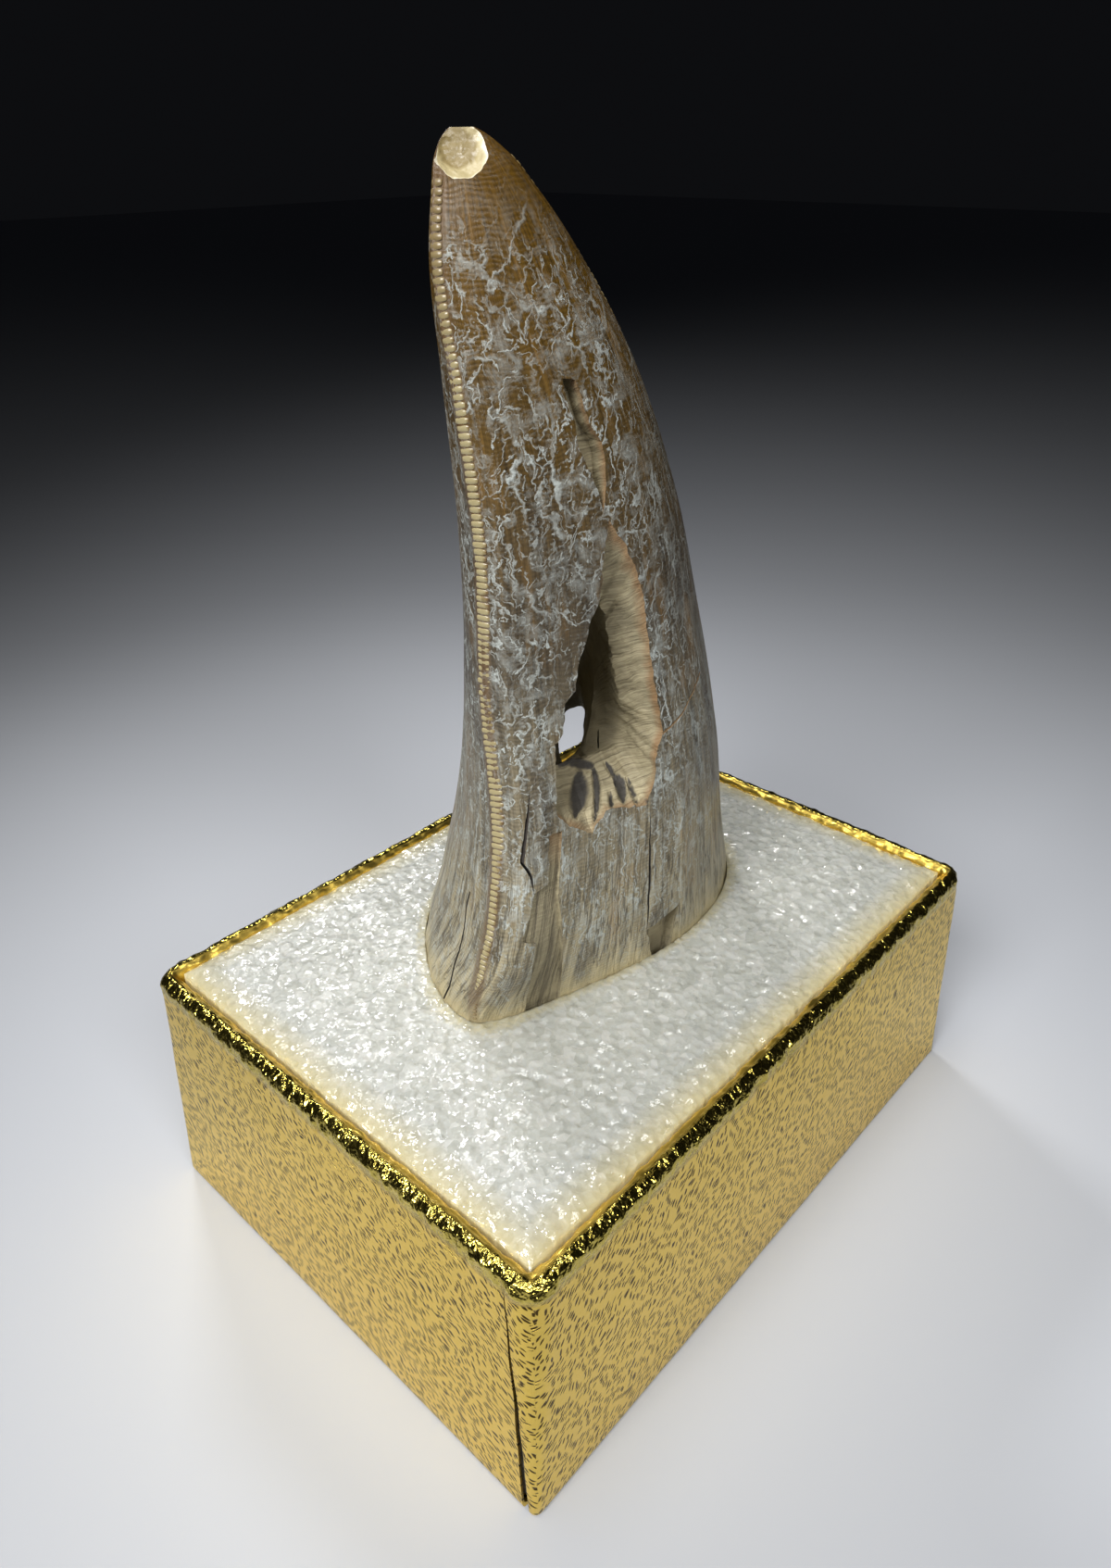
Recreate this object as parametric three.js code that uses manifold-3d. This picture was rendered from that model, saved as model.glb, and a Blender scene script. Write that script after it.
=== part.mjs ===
// A fossil tooth of a large flesh-eating dinosaur, standing in a foam pad that
// fills the base of a small foil-covered card box. Millimetres, +Z up.
// The origin is the centre of the box's underside: +X runs along its long side.
import * as THREE from "three";
import { mergeVertices } from "three/addons/utils/BufferGeometryUtils.js";
import Module from "manifold-3d";

const wasm = await Module();
wasm.setup();

// Box, measured over the foil at the rim
const BOX_LENGTH = 66;
const BOX_WIDTH = 48.7;
const BOX_HEIGHT = 26.5;
const FOOT_SPREAD = 1.029;
const CORNER_RADIUS = 2.3;
const FOIL = 0.2;
const GLUE = 0.3;
const CARD = 0.8;
const TURN_IN = 9;
const CORNER_STEPS = 4;

// Slit where the foil paper was cut and folded round the near corner
const SLIT_TOP = { inset: 2.6, z: 25 };
const SLIT_FOOT = { inset: 0.9, z: -1 };
const SLIT_WIDTH = 0.35;

// Foam pad
const FOAM_EDGE_DROP = 1.1;
const FOAM_CROWN = 0.4;
const FOAM_ROLL = 0.7;

// Tooth, in its own frame: X along the crown's length, Y across it and Z up from
// the foam, turned and moved to where it stands
const TOOTH_X = 1.25;
const TOOTH_Y = 0.7;
const TOOTH_TURN = THREE.MathUtils.degToRad(-8.85);
const FOAM_LEVEL = 26.5;
const TOOTH_TOP = 66.5;
const TOOTH_FOOT = -11.5;
const TOOTH_TWIST = THREE.MathUtils.degToRad(3.4);
const ROWS = 34;
const RECESS_ROWS = 14;
const SOCKET_ROWS = 8;
const COLUMNS = 30;

// The crown at a few heights: where its middle lies along and across, half its
// length and half its width, and how far the back edge bends towards the viewer.
// The first and last rows lie past its ends and only steer the curve there.
const CROWN = [
  { z: -18, along: 0.5, across: 2.8, long: 19.5, wide: 11.2, bend: 0.3 },
  { z: -11.5, along: 0.3, across: 2.6, long: 19.4, wide: 11.4, bend: 0.35 },
  { z: 0, along: 0, across: 2.3, long: 19.2, wide: 11.8, bend: 0.49 },
  { z: 8, along: -0.9, across: 0.9, long: 17.1, wide: 11.3, bend: 0.72 },
  { z: 18.6, along: -0.5, across: 0.3, long: 14.9, wide: 9.8, bend: 0.64 },
  { z: 30, along: -1.2, across: 0, long: 13.15, wide: 7.5, bend: 0.47 },
  { z: 41.3, along: -3.1, across: -0.4, long: 11.1, wide: 6.7, bend: 0.43 },
  { z: 51.9, along: -5.8, across: -0.65, long: 9, wide: 5.2, bend: 0.34 },
  { z: 59.2, along: -8.4, across: -0.7, long: 6.6, wide: 3.4, bend: 0.21 },
  { z: 63.2, along: -9.85, across: -0.75, long: 4.5, wide: 2.3, bend: 0.14 },
  { z: 65.3, along: -10.7, across: -0.7, long: 3.1, wide: 1.6, bend: 0.14 },
  { z: 66.5, along: -11.2, across: -0.6, long: 1.4, wide: 0.8, bend: 0.14 },
  { z: 67, along: -11.4, across: -0.5, long: -0.2, wide: 0, bend: 0.14 },
];

// Cutting edges: a keel that carries small chisel-shaped denticles
const EDGE = 0.6;
const KEEL = 0.25;
const PITCH = 0.5;
const DENTICLE = { length: 0.46, width: 1.5, height: 0.35, sunk: 0.3 };
const BACK_EDGE = { from: 0.7, to: 63.4 };
const FRONT_EDGE = { from: 26, to: 64.6, slip: 0.5 };

// Break in the near wall, [along, up] pairs clockwise from its top: the broken
// edge of the enamel, and the edge of the wall's dentine where the hollow starts
const BREAK_RIM = [
  [-4.2, 42], [-2.8, 40.2], [-1.5, 38], [-0.6, 35.5], [0, 32], [0.4, 28.2],
  [0.9, 23.4], [-0.1, 22.1], [-0.7, 19.4], [-1.7, 17.7], [-5.8, 18.5], [-7.3, 17],
  [-9, 17.9], [-10.6, 19.9], [-10.1, 24.2], [-9.9, 25.5], [-9, 26.1], [-8.6, 28.3],
  [-7.5, 29.2], [-6.8, 31.8], [-5.9, 34.5], [-5, 36.3], [-4.8, 38.5], [-4.5, 41],
];
const BREAK_THROAT = [
  [-3.6, 35], [-2.9, 34.6], [-2.3, 33.2], [-1.9, 31.5], [-1.4, 29.5], [-0.9, 27],
  [0, 24], [0.6, 22.6], [0.3, 21.2], [-1, 20.6], [-4, 20.8], [-6, 21.2],
  [-7.8, 21.2], [-9.6, 21.3], [-9.7, 24], [-9.5, 26], [-9.2, 27], [-8.6, 28.3],
  [-8, 29.3], [-6.9, 31], [-5.6, 33], [-4.6, 34.4], [-4.2, 34.9], [-3.9, 35.1],
];
const THROAT_ACROSS = -4.4;

// Hollow behind the break, and the hole in the far wall that it runs out of
const HOLLOW = [
  { across: -0.5, along: -4.6, up: 26.5, long: 4.8, high: 8.2 },
  { across: 3.5, along: -0.8, up: 19.6, long: 3.2, high: 4.6 },
  { across: 8, along: 4.6, up: 14.5, long: 1.9, high: 3.2 },
  { across: 15, along: 10.4, up: 9.7, long: 2.3, high: 3.6 },
];

// Places where only the enamel and some dentine have gone, as [along, up] outlines
const FISSURE = [
  [-7.5, 52], [-7.4, 50.8], [-6.8, 49], [-6.5, 47.2], [-5.7, 45.7], [-5, 43.9],
  [-4.7, 42.6], [-4.5, 43.7], [-4.3, 46.1], [-4.5, 47.5], [-5.5, 48.8], [-6.4, 51.9],
];
const STEP = [
  [-11.6, 18.4], [-12.4, 14.4], [-13.8, 14.2], [-14.3, 12.8], [-15.4, 10.2],
  [-14.1, 9.5], [-14.3, 6.9], [-13.6, -2], [-10.3, -2], [-10.4, 1.7],
  [-11.1, 8.3], [-11.4, 12.9], [-10.3, 18.4],
];
const NOTCH = [[-1.4, 4.4], [2.6, 5.2], [2.4, -2], [0.6, -2]];
const NEAR_CRACKS = [
  [[-12.6, 22.5], [-13.3, 20], [-14.2, 16.8], [-13.8, 15.6], [-13.8, 14]],
  [[-1.3, 17.8], [-1.6, 12], [-1.7, 8], [-1.4, 4]],
];
const CRACK_WIDTH = 0.35;
const FISSURE_DEPTH = 1.5;
const STEP_DEPTH = 0.6;
const NOTCH_DEPTH = 1.2;
const CRACK_DEPTH = 0.8;

// Chip at the tip
const CHIP = { along: -12.2, across: -5.2, up: 66.6, radius: 4.1 };

const OUTSIDE = 16;

// A closed solid through rings of equal length, with a fan over each end.
function loft(rings) {
  const size = rings[0].length;
  const points = rings.flat();
  const index = [];
  const ends = [rings[0], rings[rings.length - 1]].map((ring) =>
    ring.reduce((sum, p) => sum.add(p), new THREE.Vector3()).divideScalar(size),
  );
  const foot = points.length;
  const head = foot + 1;
  points.push(...ends);
  for (let k = 0; k < size; k++) {
    const next = (k + 1) % size;
    for (let r = 0; r + 1 < rings.length; r++) {
      const low = r * size;
      const high = low + size;
      index.push(low + k, low + next, high + next, low + k, high + next, high + k);
    }
    const last = (rings.length - 1) * size;
    index.push(foot, next, k, head, last + k, last + next);
  }
  return new THREE.BufferGeometry().setFromPoints(points).setIndex(index);
}

// The same for rings that close on themselves, as a collar does.
function collar(rings) {
  const size = rings[0].length;
  const index = [];
  rings.forEach((ring, r) => {
    const low = r * size;
    const high = ((r + 1) % rings.length) * size;
    for (let k = 0; k < size; k++) {
      const next = (k + 1) % size;
      index.push(low + k, low + next, high + next, low + k, high + next, high + k);
    }
  });
  return new THREE.BufferGeometry().setFromPoints(rings.flat()).setIndex(index);
}

function solid(geometry) {
  const bare = geometry.clone();
  bare.deleteAttribute("normal");
  bare.deleteAttribute("uv");
  const merged = mergeVertices(bare, 1e-4);
  return new wasm.Manifold(
    new wasm.Mesh({
      numProp: 3,
      vertProperties: merged.attributes.position.array,
      triVerts: new Uint32Array(merged.index.array),
    }),
  );
}

function geometryOf(body) {
  const mesh = body.getMesh();
  const geometry = new THREE.BufferGeometry();
  geometry.setAttribute("position", new THREE.BufferAttribute(mesh.vertProperties, 3));
  geometry.setIndex(new THREE.BufferAttribute(mesh.triVerts, 1));
  geometry.computeVertexNormals();
  return geometry;
}

function named(name, geometry, colour, roughness, metalness) {
  const material = new THREE.MeshStandardMaterial({ color: colour, roughness, metalness });
  const mesh = new THREE.Mesh(geometry, material);
  mesh.name = name;
  return mesh;
}

// One line round the box, `inset` inside the foil's outer face, at height z.
function boxRing(inset, z) {
  const spread = THREE.MathUtils.lerp(FOOT_SPREAD, 1, z / BOX_HEIGHT);
  const radius = Math.max(CORNER_RADIUS - inset, 0.4);
  const x = (BOX_LENGTH / 2) * spread - inset - radius;
  const y = (BOX_WIDTH / 2) * spread - inset - radius;
  const ring = [];
  const corners = [[1, 1], [-1, 1], [-1, -1], [1, -1]];
  corners.forEach(([sx, sy], quarter) => {
    for (let k = 0; k <= CORNER_STEPS; k++) {
      const angle = (quarter + k / CORNER_STEPS) * (Math.PI / 2);
      const px = sx * x + radius * Math.cos(angle);
      const py = sy * y + radius * Math.sin(angle);
      ring.push(new THREE.Vector3(px, py, z));
    }
  });
  return ring;
}

// Foil-faced paper: turned under the box, up its walls, over the rim and down inside.
function foilWrap() {
  const wall = FOIL * 2 + GLUE * 2 + CARD;
  const outer = [
    boxRing(TURN_IN, 0),
    boxRing(0.3, 0),
    boxRing(0, 0.4),
    boxRing(0, BOX_HEIGHT - 0.5),
    boxRing(0.25, BOX_HEIGHT - 0.1),
    boxRing(wall / 2, BOX_HEIGHT),
    boxRing(wall - 0.25, BOX_HEIGHT - 0.1),
    boxRing(wall, BOX_HEIGHT - 0.5),
    boxRing(wall, BOX_HEIGHT - TURN_IN),
  ];
  const inner = [
    boxRing(wall - FOIL, BOX_HEIGHT - TURN_IN),
    boxRing(wall - FOIL, BOX_HEIGHT - 0.55),
    boxRing(wall / 2, BOX_HEIGHT - FOIL),
    boxRing(FOIL, BOX_HEIGHT - 0.55),
    boxRing(FOIL, 0.5),
    boxRing(0.45, FOIL),
    boxRing(TURN_IN, FOIL),
  ];
  const x = -(BOX_LENGTH / 2) * FOOT_SPREAD - 1;
  const y = -BOX_WIDTH / 2;
  const slit = new THREE.Shape([
    new THREE.Vector2(y + SLIT_TOP.inset, SLIT_TOP.z),
    new THREE.Vector2(y + SLIT_FOOT.inset - SLIT_WIDTH, SLIT_FOOT.z),
    new THREE.Vector2(y + SLIT_FOOT.inset + SLIT_WIDTH, SLIT_FOOT.z),
  ]);
  const knife = new THREE.ExtrudeGeometry(slit, { depth: 3, bevelEnabled: false });
  knife.rotateX(Math.PI / 2).rotateZ(Math.PI / 2).translate(x, 0, 0);
  return geometryOf(solid(collar([...outer, ...inner])).subtract(solid(knife)));
}

// Card tray inside the foil: a floor and four walls in one.
function cardTray() {
  const skin = FOIL + GLUE;
  return loft([
    boxRing(skin + 0.3, skin),
    boxRing(skin, skin + 0.3),
    boxRing(skin, BOX_HEIGHT - skin - 0.3),
    boxRing(skin + CARD, BOX_HEIGHT - skin - 0.3),
    boxRing(skin + CARD, skin + CARD),
  ]);
}

// Values of the crown at height z, on a smooth line through the listed heights.
function crownAt(z) {
  const heights = CROWN.map((row) => row.z);
  const values = CROWN.flatMap((row) => [row.along, row.across, row.long, row.wide, row.bend]);
  const line = new THREE.CubicInterpolant(heights, values, 5);
  const [along, across, long, wide, bend] = line.evaluate(z);
  return { along, across, long, wide, bend };
}

// A point of the crown's skin. Angle 0 is the front edge and PI the back edge;
// `grow` moves the skin outwards.
function skinPoint(angle, z, grow = 0) {
  const row = crownAt(z);
  const back = Math.max(-Math.cos(angle), 0);
  const keel = Math.abs(angle - Math.PI) < 0.01 ? KEEL : 0;
  const length = row.long - EDGE + grow;
  const width = row.wide + grow;
  const m = length * Math.cos(angle) - keel;
  const w = width * Math.sin(angle) - row.bend * row.wide * back ** 3;
  const twist = TOOTH_TWIST * (z / TOOTH_TOP);
  const x = row.along + m * Math.cos(twist) - w * Math.sin(twist);
  const y = row.across + m * Math.sin(twist) + w * Math.cos(twist);
  return new THREE.Vector3(x, y, z);
}

function crownLoft(from, to, rows, grow = 0) {
  const rings = [];
  for (let r = 0; r <= rows; r++) {
    // Rows crowd together towards the tip, where the crown curves most
    const share = 1 - (1 - r / rows) ** 1.3;
    const z = THREE.MathUtils.lerp(from, to, share);
    const ring = [];
    for (let c = 0; c < COLUMNS; c++) {
      ring.push(skinPoint((c / COLUMNS) * 2 * Math.PI, z, grow));
    }
    rings.push(ring);
  }
  return loft(rings);
}

// How far across the near skin lies at a point of the [along, up] plane.
function nearSkin(m, z) {
  const row = crownAt(z);
  const share = THREE.MathUtils.clamp((m - row.along) / (row.long - EDGE), -1, 1);
  const bent = row.bend * row.wide * Math.max(-share, 0) ** 3;
  return row.across - row.wide * Math.sqrt(1 - share * share) - bent;
}

function hollowRing(step) {
  return BREAK_RIM.map((pair, k) => {
    const angle = (k / BREAK_RIM.length) * 2 * Math.PI;
    const m = step.along + step.long * Math.sin(angle);
    const z = step.up + step.high * Math.cos(angle);
    return new THREE.Vector3(m, step.across, z);
  });
}

// From in front of the break, through the wall and the hollow, out at the far side.
function breakThrough() {
  return loft([
    BREAK_RIM.map(([m, z]) => new THREE.Vector3(m, -OUTSIDE, z)),
    BREAK_RIM.map(([m, z]) => new THREE.Vector3(m, nearSkin(m, z), z)),
    BREAK_THROAT.map(([m, z]) => new THREE.Vector3(m, THROAT_ACROSS, z)),
    ...HOLLOW.map(hollowRing),
  ]);
}

// What lies inside an outline on the near side, down to `depth` under the skin.
function recess(outline, depth) {
  const shape = new THREE.Shape(outline.map(([m, z]) => new THREE.Vector2(m, z)));
  const block = new THREE.ExtrudeGeometry(shape, { depth: OUTSIDE, bevelEnabled: false });
  block.rotateX(Math.PI / 2);
  return solid(block).subtract(solid(crownLoft(TOOTH_FOOT, TOOTH_TOP, RECESS_ROWS, -depth)));
}

function crackOutline(line) {
  const half = CRACK_WIDTH / 2;
  const inner = line.slice(1, -1);
  const left = inner.map(([m, z]) => [m - half, z]);
  const right = inner.map(([m, z]) => [m + half, z]);
  return [line[0], ...left, line[line.length - 1], ...right.reverse()];
}

// One denticle: a four-sided chisel point that stands on the crown's edge.
function denticle(place, along, away) {
  const side = new THREE.Vector3().crossVectors(away, along);
  const { length, width, height, sunk } = DENTICLE;
  const point = new THREE.ConeGeometry(Math.SQRT1_2, 1, 4);
  point.rotateY(Math.PI / 4);
  point.scale(width, height + sunk, length);
  point.translate(0, (height - sunk) / 2, 0);
  point.applyMatrix4(new THREE.Matrix4().makeBasis(side, away, along).setPosition(place));
  return solid(point);
}

// Denticles at an even pitch along one edge of the crown, joined to it.
function serrated(crown, edge, angleAt, out) {
  const points = [];
  for (let k = 0; k <= ROWS; k++) {
    const z = THREE.MathUtils.lerp(edge.from, edge.to, k / ROWS);
    points.push(skinPoint(angleAt(z), z));
  }
  const line = new THREE.CatmullRomCurve3(points);
  const count = Math.floor(line.getLength() / PITCH);
  let row = crown;
  for (let k = 0; k <= count; k++) {
    const along = line.getTangentAt(k / count);
    const away = out.clone().addScaledVector(along, -out.dot(along)).normalize();
    row = row.add(denticle(line.getPointAt(k / count), along, away));
  }
  return row;
}

function frontAngle(z) {
  const share = (FRONT_EDGE.to - z) / (FRONT_EDGE.to - FRONT_EDGE.from);
  return FRONT_EDGE.slip * share;
}

function toothSolid() {
  const chip = new THREE.SphereGeometry(CHIP.radius, 20, 14);
  chip.translate(CHIP.along, CHIP.across, CHIP.up);
  const lost = [
    solid(breakThrough()),
    solid(chip),
    recess(FISSURE, FISSURE_DEPTH),
    recess(STEP, STEP_DEPTH),
    recess(NOTCH, NOTCH_DEPTH),
    ...NEAR_CRACKS.map((line) => recess(crackOutline(line), CRACK_DEPTH)),
  ];
  const backwards = new THREE.Vector3(-1, -0.12, 0);
  const forwards = new THREE.Vector3(1, 0.3, 0);
  let tooth = solid(crownLoft(TOOTH_FOOT, TOOTH_TOP, ROWS));
  tooth = serrated(tooth, BACK_EDGE, () => Math.PI, backwards);
  tooth = serrated(tooth, FRONT_EDGE, frontAngle, forwards);
  tooth = lost.reduce((body, piece) => body.subtract(piece), tooth);
  return geometryOf(tooth);
}

// A block that fills the tray, its top a little crowned, with a socket for the tooth.
function foamPad(tooth) {
  const inset = FOIL * 2 + GLUE * 3 + CARD;
  const floor = FOIL + GLUE * 2 + CARD;
  const edge = BOX_HEIGHT - FOAM_EDGE_DROP;
  const rings = [boxRing(inset, floor), boxRing(inset, edge - FOAM_ROLL)];
  for (const share of [0.1, 0.35, 0.7, 1]) {
    const rise = FOAM_ROLL * Math.sin((share * Math.PI) / 2);
    rings.push(boxRing(inset + 2.5 * share, edge - FOAM_ROLL + rise));
  }
  for (const share of [0.25, 0.5, 0.8]) {
    const z = THREE.MathUtils.lerp(edge, BOX_HEIGHT + FOAM_CROWN, share);
    rings.push(boxRing(inset + 2.5 + 14 * share, z));
  }
  const socket = new THREE.Mesh(crownLoft(TOOTH_FOOT - GLUE, TOOTH_TOP / 4, SOCKET_ROWS, GLUE));
  socket.position.copy(tooth.position);
  socket.rotation.copy(tooth.rotation);
  socket.updateMatrix();
  socket.geometry.applyMatrix4(socket.matrix);
  return geometryOf(solid(loft(rings)).subtract(solid(socket.geometry)));
}

const tooth = named("tooth", toothSolid(), 0x7d6a52, 0.45, 0);
tooth.position.set(TOOTH_X, TOOTH_Y, FOAM_LEVEL);
tooth.rotation.z = TOOTH_TURN;

const display = new THREE.Group();
display.add(tooth);
display.add(named("foam_pad", foamPad(tooth), 0xeeece4, 0.6, 0));
display.add(named("card_tray", cardTray(), 0x9b9486, 0.9, 0));
display.add(named("foil_wrap", foilWrap(), 0xc8a94f, 0.3, 1));

export default display;
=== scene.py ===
import math

import bmesh
import bpy
import numpy as np
from mathutils import Matrix, Vector, noise


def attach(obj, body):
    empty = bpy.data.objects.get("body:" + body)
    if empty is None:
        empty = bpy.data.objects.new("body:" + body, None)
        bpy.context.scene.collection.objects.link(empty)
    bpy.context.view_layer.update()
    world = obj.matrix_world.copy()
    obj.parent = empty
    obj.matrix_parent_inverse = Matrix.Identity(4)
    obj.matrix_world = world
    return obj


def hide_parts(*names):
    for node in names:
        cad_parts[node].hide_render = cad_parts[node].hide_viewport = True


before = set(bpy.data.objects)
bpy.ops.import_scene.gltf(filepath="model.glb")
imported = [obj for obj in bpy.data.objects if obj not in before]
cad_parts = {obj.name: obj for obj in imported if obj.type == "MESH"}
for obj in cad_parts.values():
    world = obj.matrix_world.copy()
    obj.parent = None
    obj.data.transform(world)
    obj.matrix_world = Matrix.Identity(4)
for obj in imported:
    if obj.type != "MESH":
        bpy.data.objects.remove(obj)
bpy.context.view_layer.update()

# Lengths are in millimetres here, and each mesh is brought to metres as it is made.
# Seeds, the last number that grain and ragged take, keep one pattern from another.
MM = 0.001

# Camera of the photograph
CAMERA_PLACE = (-63.06, -54.88, 92.8)
CAMERA_AZIMUTH = math.radians(-47.13)
CAMERA_ELEVATION = math.radians(31.35)
CAMERA_ROLL = math.radians(-0.54)
FOCAL_LENGTH = 24.65
SENSOR = 36

# Lights, with grids in front so that the floor further off stays dark: name, place,
# length and width, and watts
LIGHTS = [
    ("key", (-250, -50, 250), (140, 140), 0.13),
    ("top", (-40, 20, 330), (120, 120), 0.032),
    ("fill", (-90, -260, 260), (120, 120), 0.055),
    ("back", (90, 230, 260), (70, 50), 0.04),
]
LIGHT_AIM = (0, 0, 40)
LIGHT_SPREAD = math.radians(57)
FLOOR_REACH = 1500

# Box of card, covered with foil paper. Its length and width are those of the rim, and
# FOOT_SPREAD says how much more they are at the foot.
BOX_LENGTH = 66
BOX_WIDTH = 48.7
BOX_HEIGHT = 26.5
FOOT_SPREAD = 1.029
CORNER_RADIUS = 2.3
FOIL = 0.2
GLUE = 0.3
CARD = 0.8
WALL = 2 * FOIL + 2 * GLUE + CARD
TURN_IN = 9
WALL_BULGE = 0.3
FOIL_STEP = 0.27
CORNER_STEPS = 9
SIGNS = np.array([(1, 1), (-1, 1), (-1, -1), (1, -1)])

# Slit where the foil paper was cut and folded round the near corner, as places
# across the end wall and up it
SLIT_TOP = (-BOX_WIDTH / 2 + 2.6, 25)
SLIT_FOOT = (-BOX_WIDTH / 2 + 0.25, -1)
SLIT_WIDTH = 0.75

# Foam pad: its half length and half width at the rim, and its low dome
FOAM_INSET = 2 * FOIL + 3 * GLUE + CARD
FOAM_X = BOX_LENGTH / 2 - FOAM_INSET
FOAM_Y = BOX_WIDTH / 2 - FOAM_INSET
FOAM_EDGE = BOX_HEIGHT - 0.2
FOAM_TOP = BOX_HEIGHT + 0.4
DOME_REACH = 16
# Its sides sink beside the wall, its far side stands higher, and the whole top is uneven
SUNK_DEPTH, SUNK_REACH = 0.3, 1.2
FAR_RISE, FAR_REACH = 0.28, 5
FOAM_UNEVEN = 0.12
# Cut cells: their size, and the usual lean and lift of one; the seams between them
FOAM_CELL = 0.95
CELL_LEAN, CELL_LIFT = 0.09, 0.025
SEAM_WIDTH, SEAM_DEPTH = 0.25, 0.05
# Step of the grid on top, and heights of the rings down the sides
FOAM_GRID = 0.24
FOAM_LEVELS = (20, 14, 8, FOIL + 2 * GLUE + CARD)
SOCKET_GAP = 0.08

# Tooth: in its own frame X runs along the crown, Y across it and Z up from the foam
TOOTH_PLACE = (1.25, 0.7, 26.5)
TOOTH_TURN = math.radians(-8.85)
TOOTH_TWIST = math.radians(3.4)
TOOTH_TOP = 66.5
TOOTH_FOOT = -11.5
CROWN_ROWS = 236
CROWN_COLUMNS = 196
# The close rows start this far under the foam's top
ROWS_SUNK = 1.5
# Room for the denticles at both ends of the section, and the ridge down the back, with
# half of its width as an angle
EDGE = 0.6
KEEL = 0.3
KEEL_ANGLE = 0.09
# Shares of the crown's section turn to millimetres with these
HALF_LENGTH = 16
HALF_WIDTH = 10
# In front of the whole crown, where the cutters of its near face start
OUTSIDE = 16

# Denticles: pitch, half length, how far they are set in, and their shares of the full
# width at some heights
PITCH = 0.5
DENTICLE_HALF = 0.23
DENTICLE_SUNK = 0.09
DENTICLE_WIDTHS = ((0, 8, 20, 64), (0.6, 0.9, 1.5, 0.95))
# Rows on the back and the front edge: lowest and highest, which way they point, half
# their width and how far they stand out
BACK_ROW = ((0.6, 63.8), (-1, -0.5, 0), 0.42, 0.15)
FRONT_ROW = ((24, 64.9), (1, -0.4, 0), 0.3, 0.16)

# The crown at a few heights: height, place of the middle along and across, half
# length, half width and bend of the back edge. The outer rows only steer the ends.
CROWN = np.array([
    (-18, 0.5, 2.8, 19.5, 11.2, 0.3),
    (-11.5, 0.3, 2.6, 19.4, 11.4, 0.35),
    (0, 0, 2.3, 19.2, 11.8, 0.49),
    (8, -0.9, 0.9, 17.1, 11.3, 0.72),
    (18.6, -0.5, 0.3, 14.9, 9.8, 0.64),
    (30, -1.2, 0, 13.15, 7.5, 0.47),
    (41.3, -3.1, -0.4, 11.1, 6.7, 0.43),
    (51.9, -5.8, -0.65, 9, 5.2, 0.34),
    (59.2, -8.4, -0.7, 6.6, 3.4, 0.21),
    (63.2, -9.85, -0.75, 4.5, 2.3, 0.14),
    (65.3, -10.7, -0.7, 3.1, 1.6, 0.14),
    (66.5, -11.2, -0.6, 1.4, 0.8, 0.14),
    (67, -11.4, -0.5, -0.2, 0, 0.14),
])

# Break in the near wall, [along, up] pairs clockwise from its top: the edge of the
# enamel, and the edge of the wall's dentine where the hollow starts. The same places in
# both lists are joined.
BREAK_RIM = [
    (-4.2, 42), (-2.8, 40.2), (-1.5, 38), (-0.6, 35.5), (0, 32), (0.4, 28.2),
    (0.9, 23.4), (-0.1, 22.1), (-0.7, 19.4), (-1.7, 17.7), (-5.8, 18.5), (-7.3, 17),
    (-9, 17.9), (-10.6, 19.9), (-10.1, 24.2), (-9.9, 25.5), (-9, 26.1), (-8.6, 28.3),
    (-7.5, 29.2), (-6.8, 31.8), (-5.9, 34.5), (-5, 36.3), (-4.8, 38.5), (-4.5, 41),
]
BREAK_THROAT = [
    (-3.6, 35), (-2.9, 34.6), (-2.3, 33.2), (-1.9, 31.5), (-1.4, 29.5), (-0.9, 27),
    (0, 24), (0.6, 22.6), (0.3, 21.2), (-1, 20.6), (-4, 20.8), (-6, 21.2),
    (-7.8, 21.2), (-9.6, 21.3), (-9.7, 24), (-9.5, 26), (-9.2, 27), (-8.6, 28.3),
    (-8, 29.3), (-6.9, 31), (-5.6, 33), (-4.6, 34.4), (-4.2, 34.9), (-3.9, 35.1),
]
THROAT_ACROSS = -4.4

# Hollow behind the break, out at the far side: across, along, up, half length and half
# height of each oval
HOLLOW = [
    (-0.5, -4.6, 26.5, 4.8, 8.2),
    (3.5, -0.8, 19.6, 3.2, 4.6),
    (8, 4.8, 14.5, 1.9, 3.2),
    (15, 10.8, 9.7, 2.3, 3.6),
]

# Thin gap beside the hollow's far end: its section, and its ends along, across and up
GAP = [(-0.1, -1.3), (-0.14, 0.2), (-0.05, 1.4), (0.05, 1.4), (0.06, 0.1), (0, -1.3)]
GAP_ENDS = [(-1.7, -3.4, 20.8), (10.9, 12, 10)]

# Dark mineral on the face below the break, as lines of along, up and half width. They
# are drawn on an upright plane at STRIPES_AT, and each step inwards moves them by
# STRIPES_SLANT.
STRIPES = [
    [(-10.8, 25, 0.5), (-9.9, 25, 0.65), (-9.2, 24.5, 0.6), (-8.4, 23.9, 0.5), (-7.5, 23.5, 0.4)],
    [(-8.9, 23, 0.6), (-8.85, 22, 1.1), (-8.8, 21, 1.2), (-8.9, 20, 0.9), (-9.1, 19.3, 0.3)],
    [(-7.2, 23, 0.25), (-6.9, 21.7, 0.42), (-6.8, 20.3, 0.4), (-6.9, 19, 0.3), (-7, 18, 0.15)],
    [(-6, 23.3, 0.15), (-5.4, 22.5, 0.28), (-4.9, 21.5, 0.28), (-4.7, 20.4, 0.15)],
    [(-5.4, 20, 0.2), (-5.2, 18.8, 0.25)],
    [(-4.6, 21.5, 0.25), (-4.2, 20.5, 0.6), (-4, 19.5, 0.55), (-3.9, 18.6, 0.2)],
    [(-3.4, 20.7, 0.15), (-3, 19.5, 0.3), (-2.4, 18, 0.2)],
]
STRIPES_AT = -9.2
STRIPES_SLANT = np.array([0.85, -0.78])
STRIPE_DEPTH = 0.6

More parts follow.
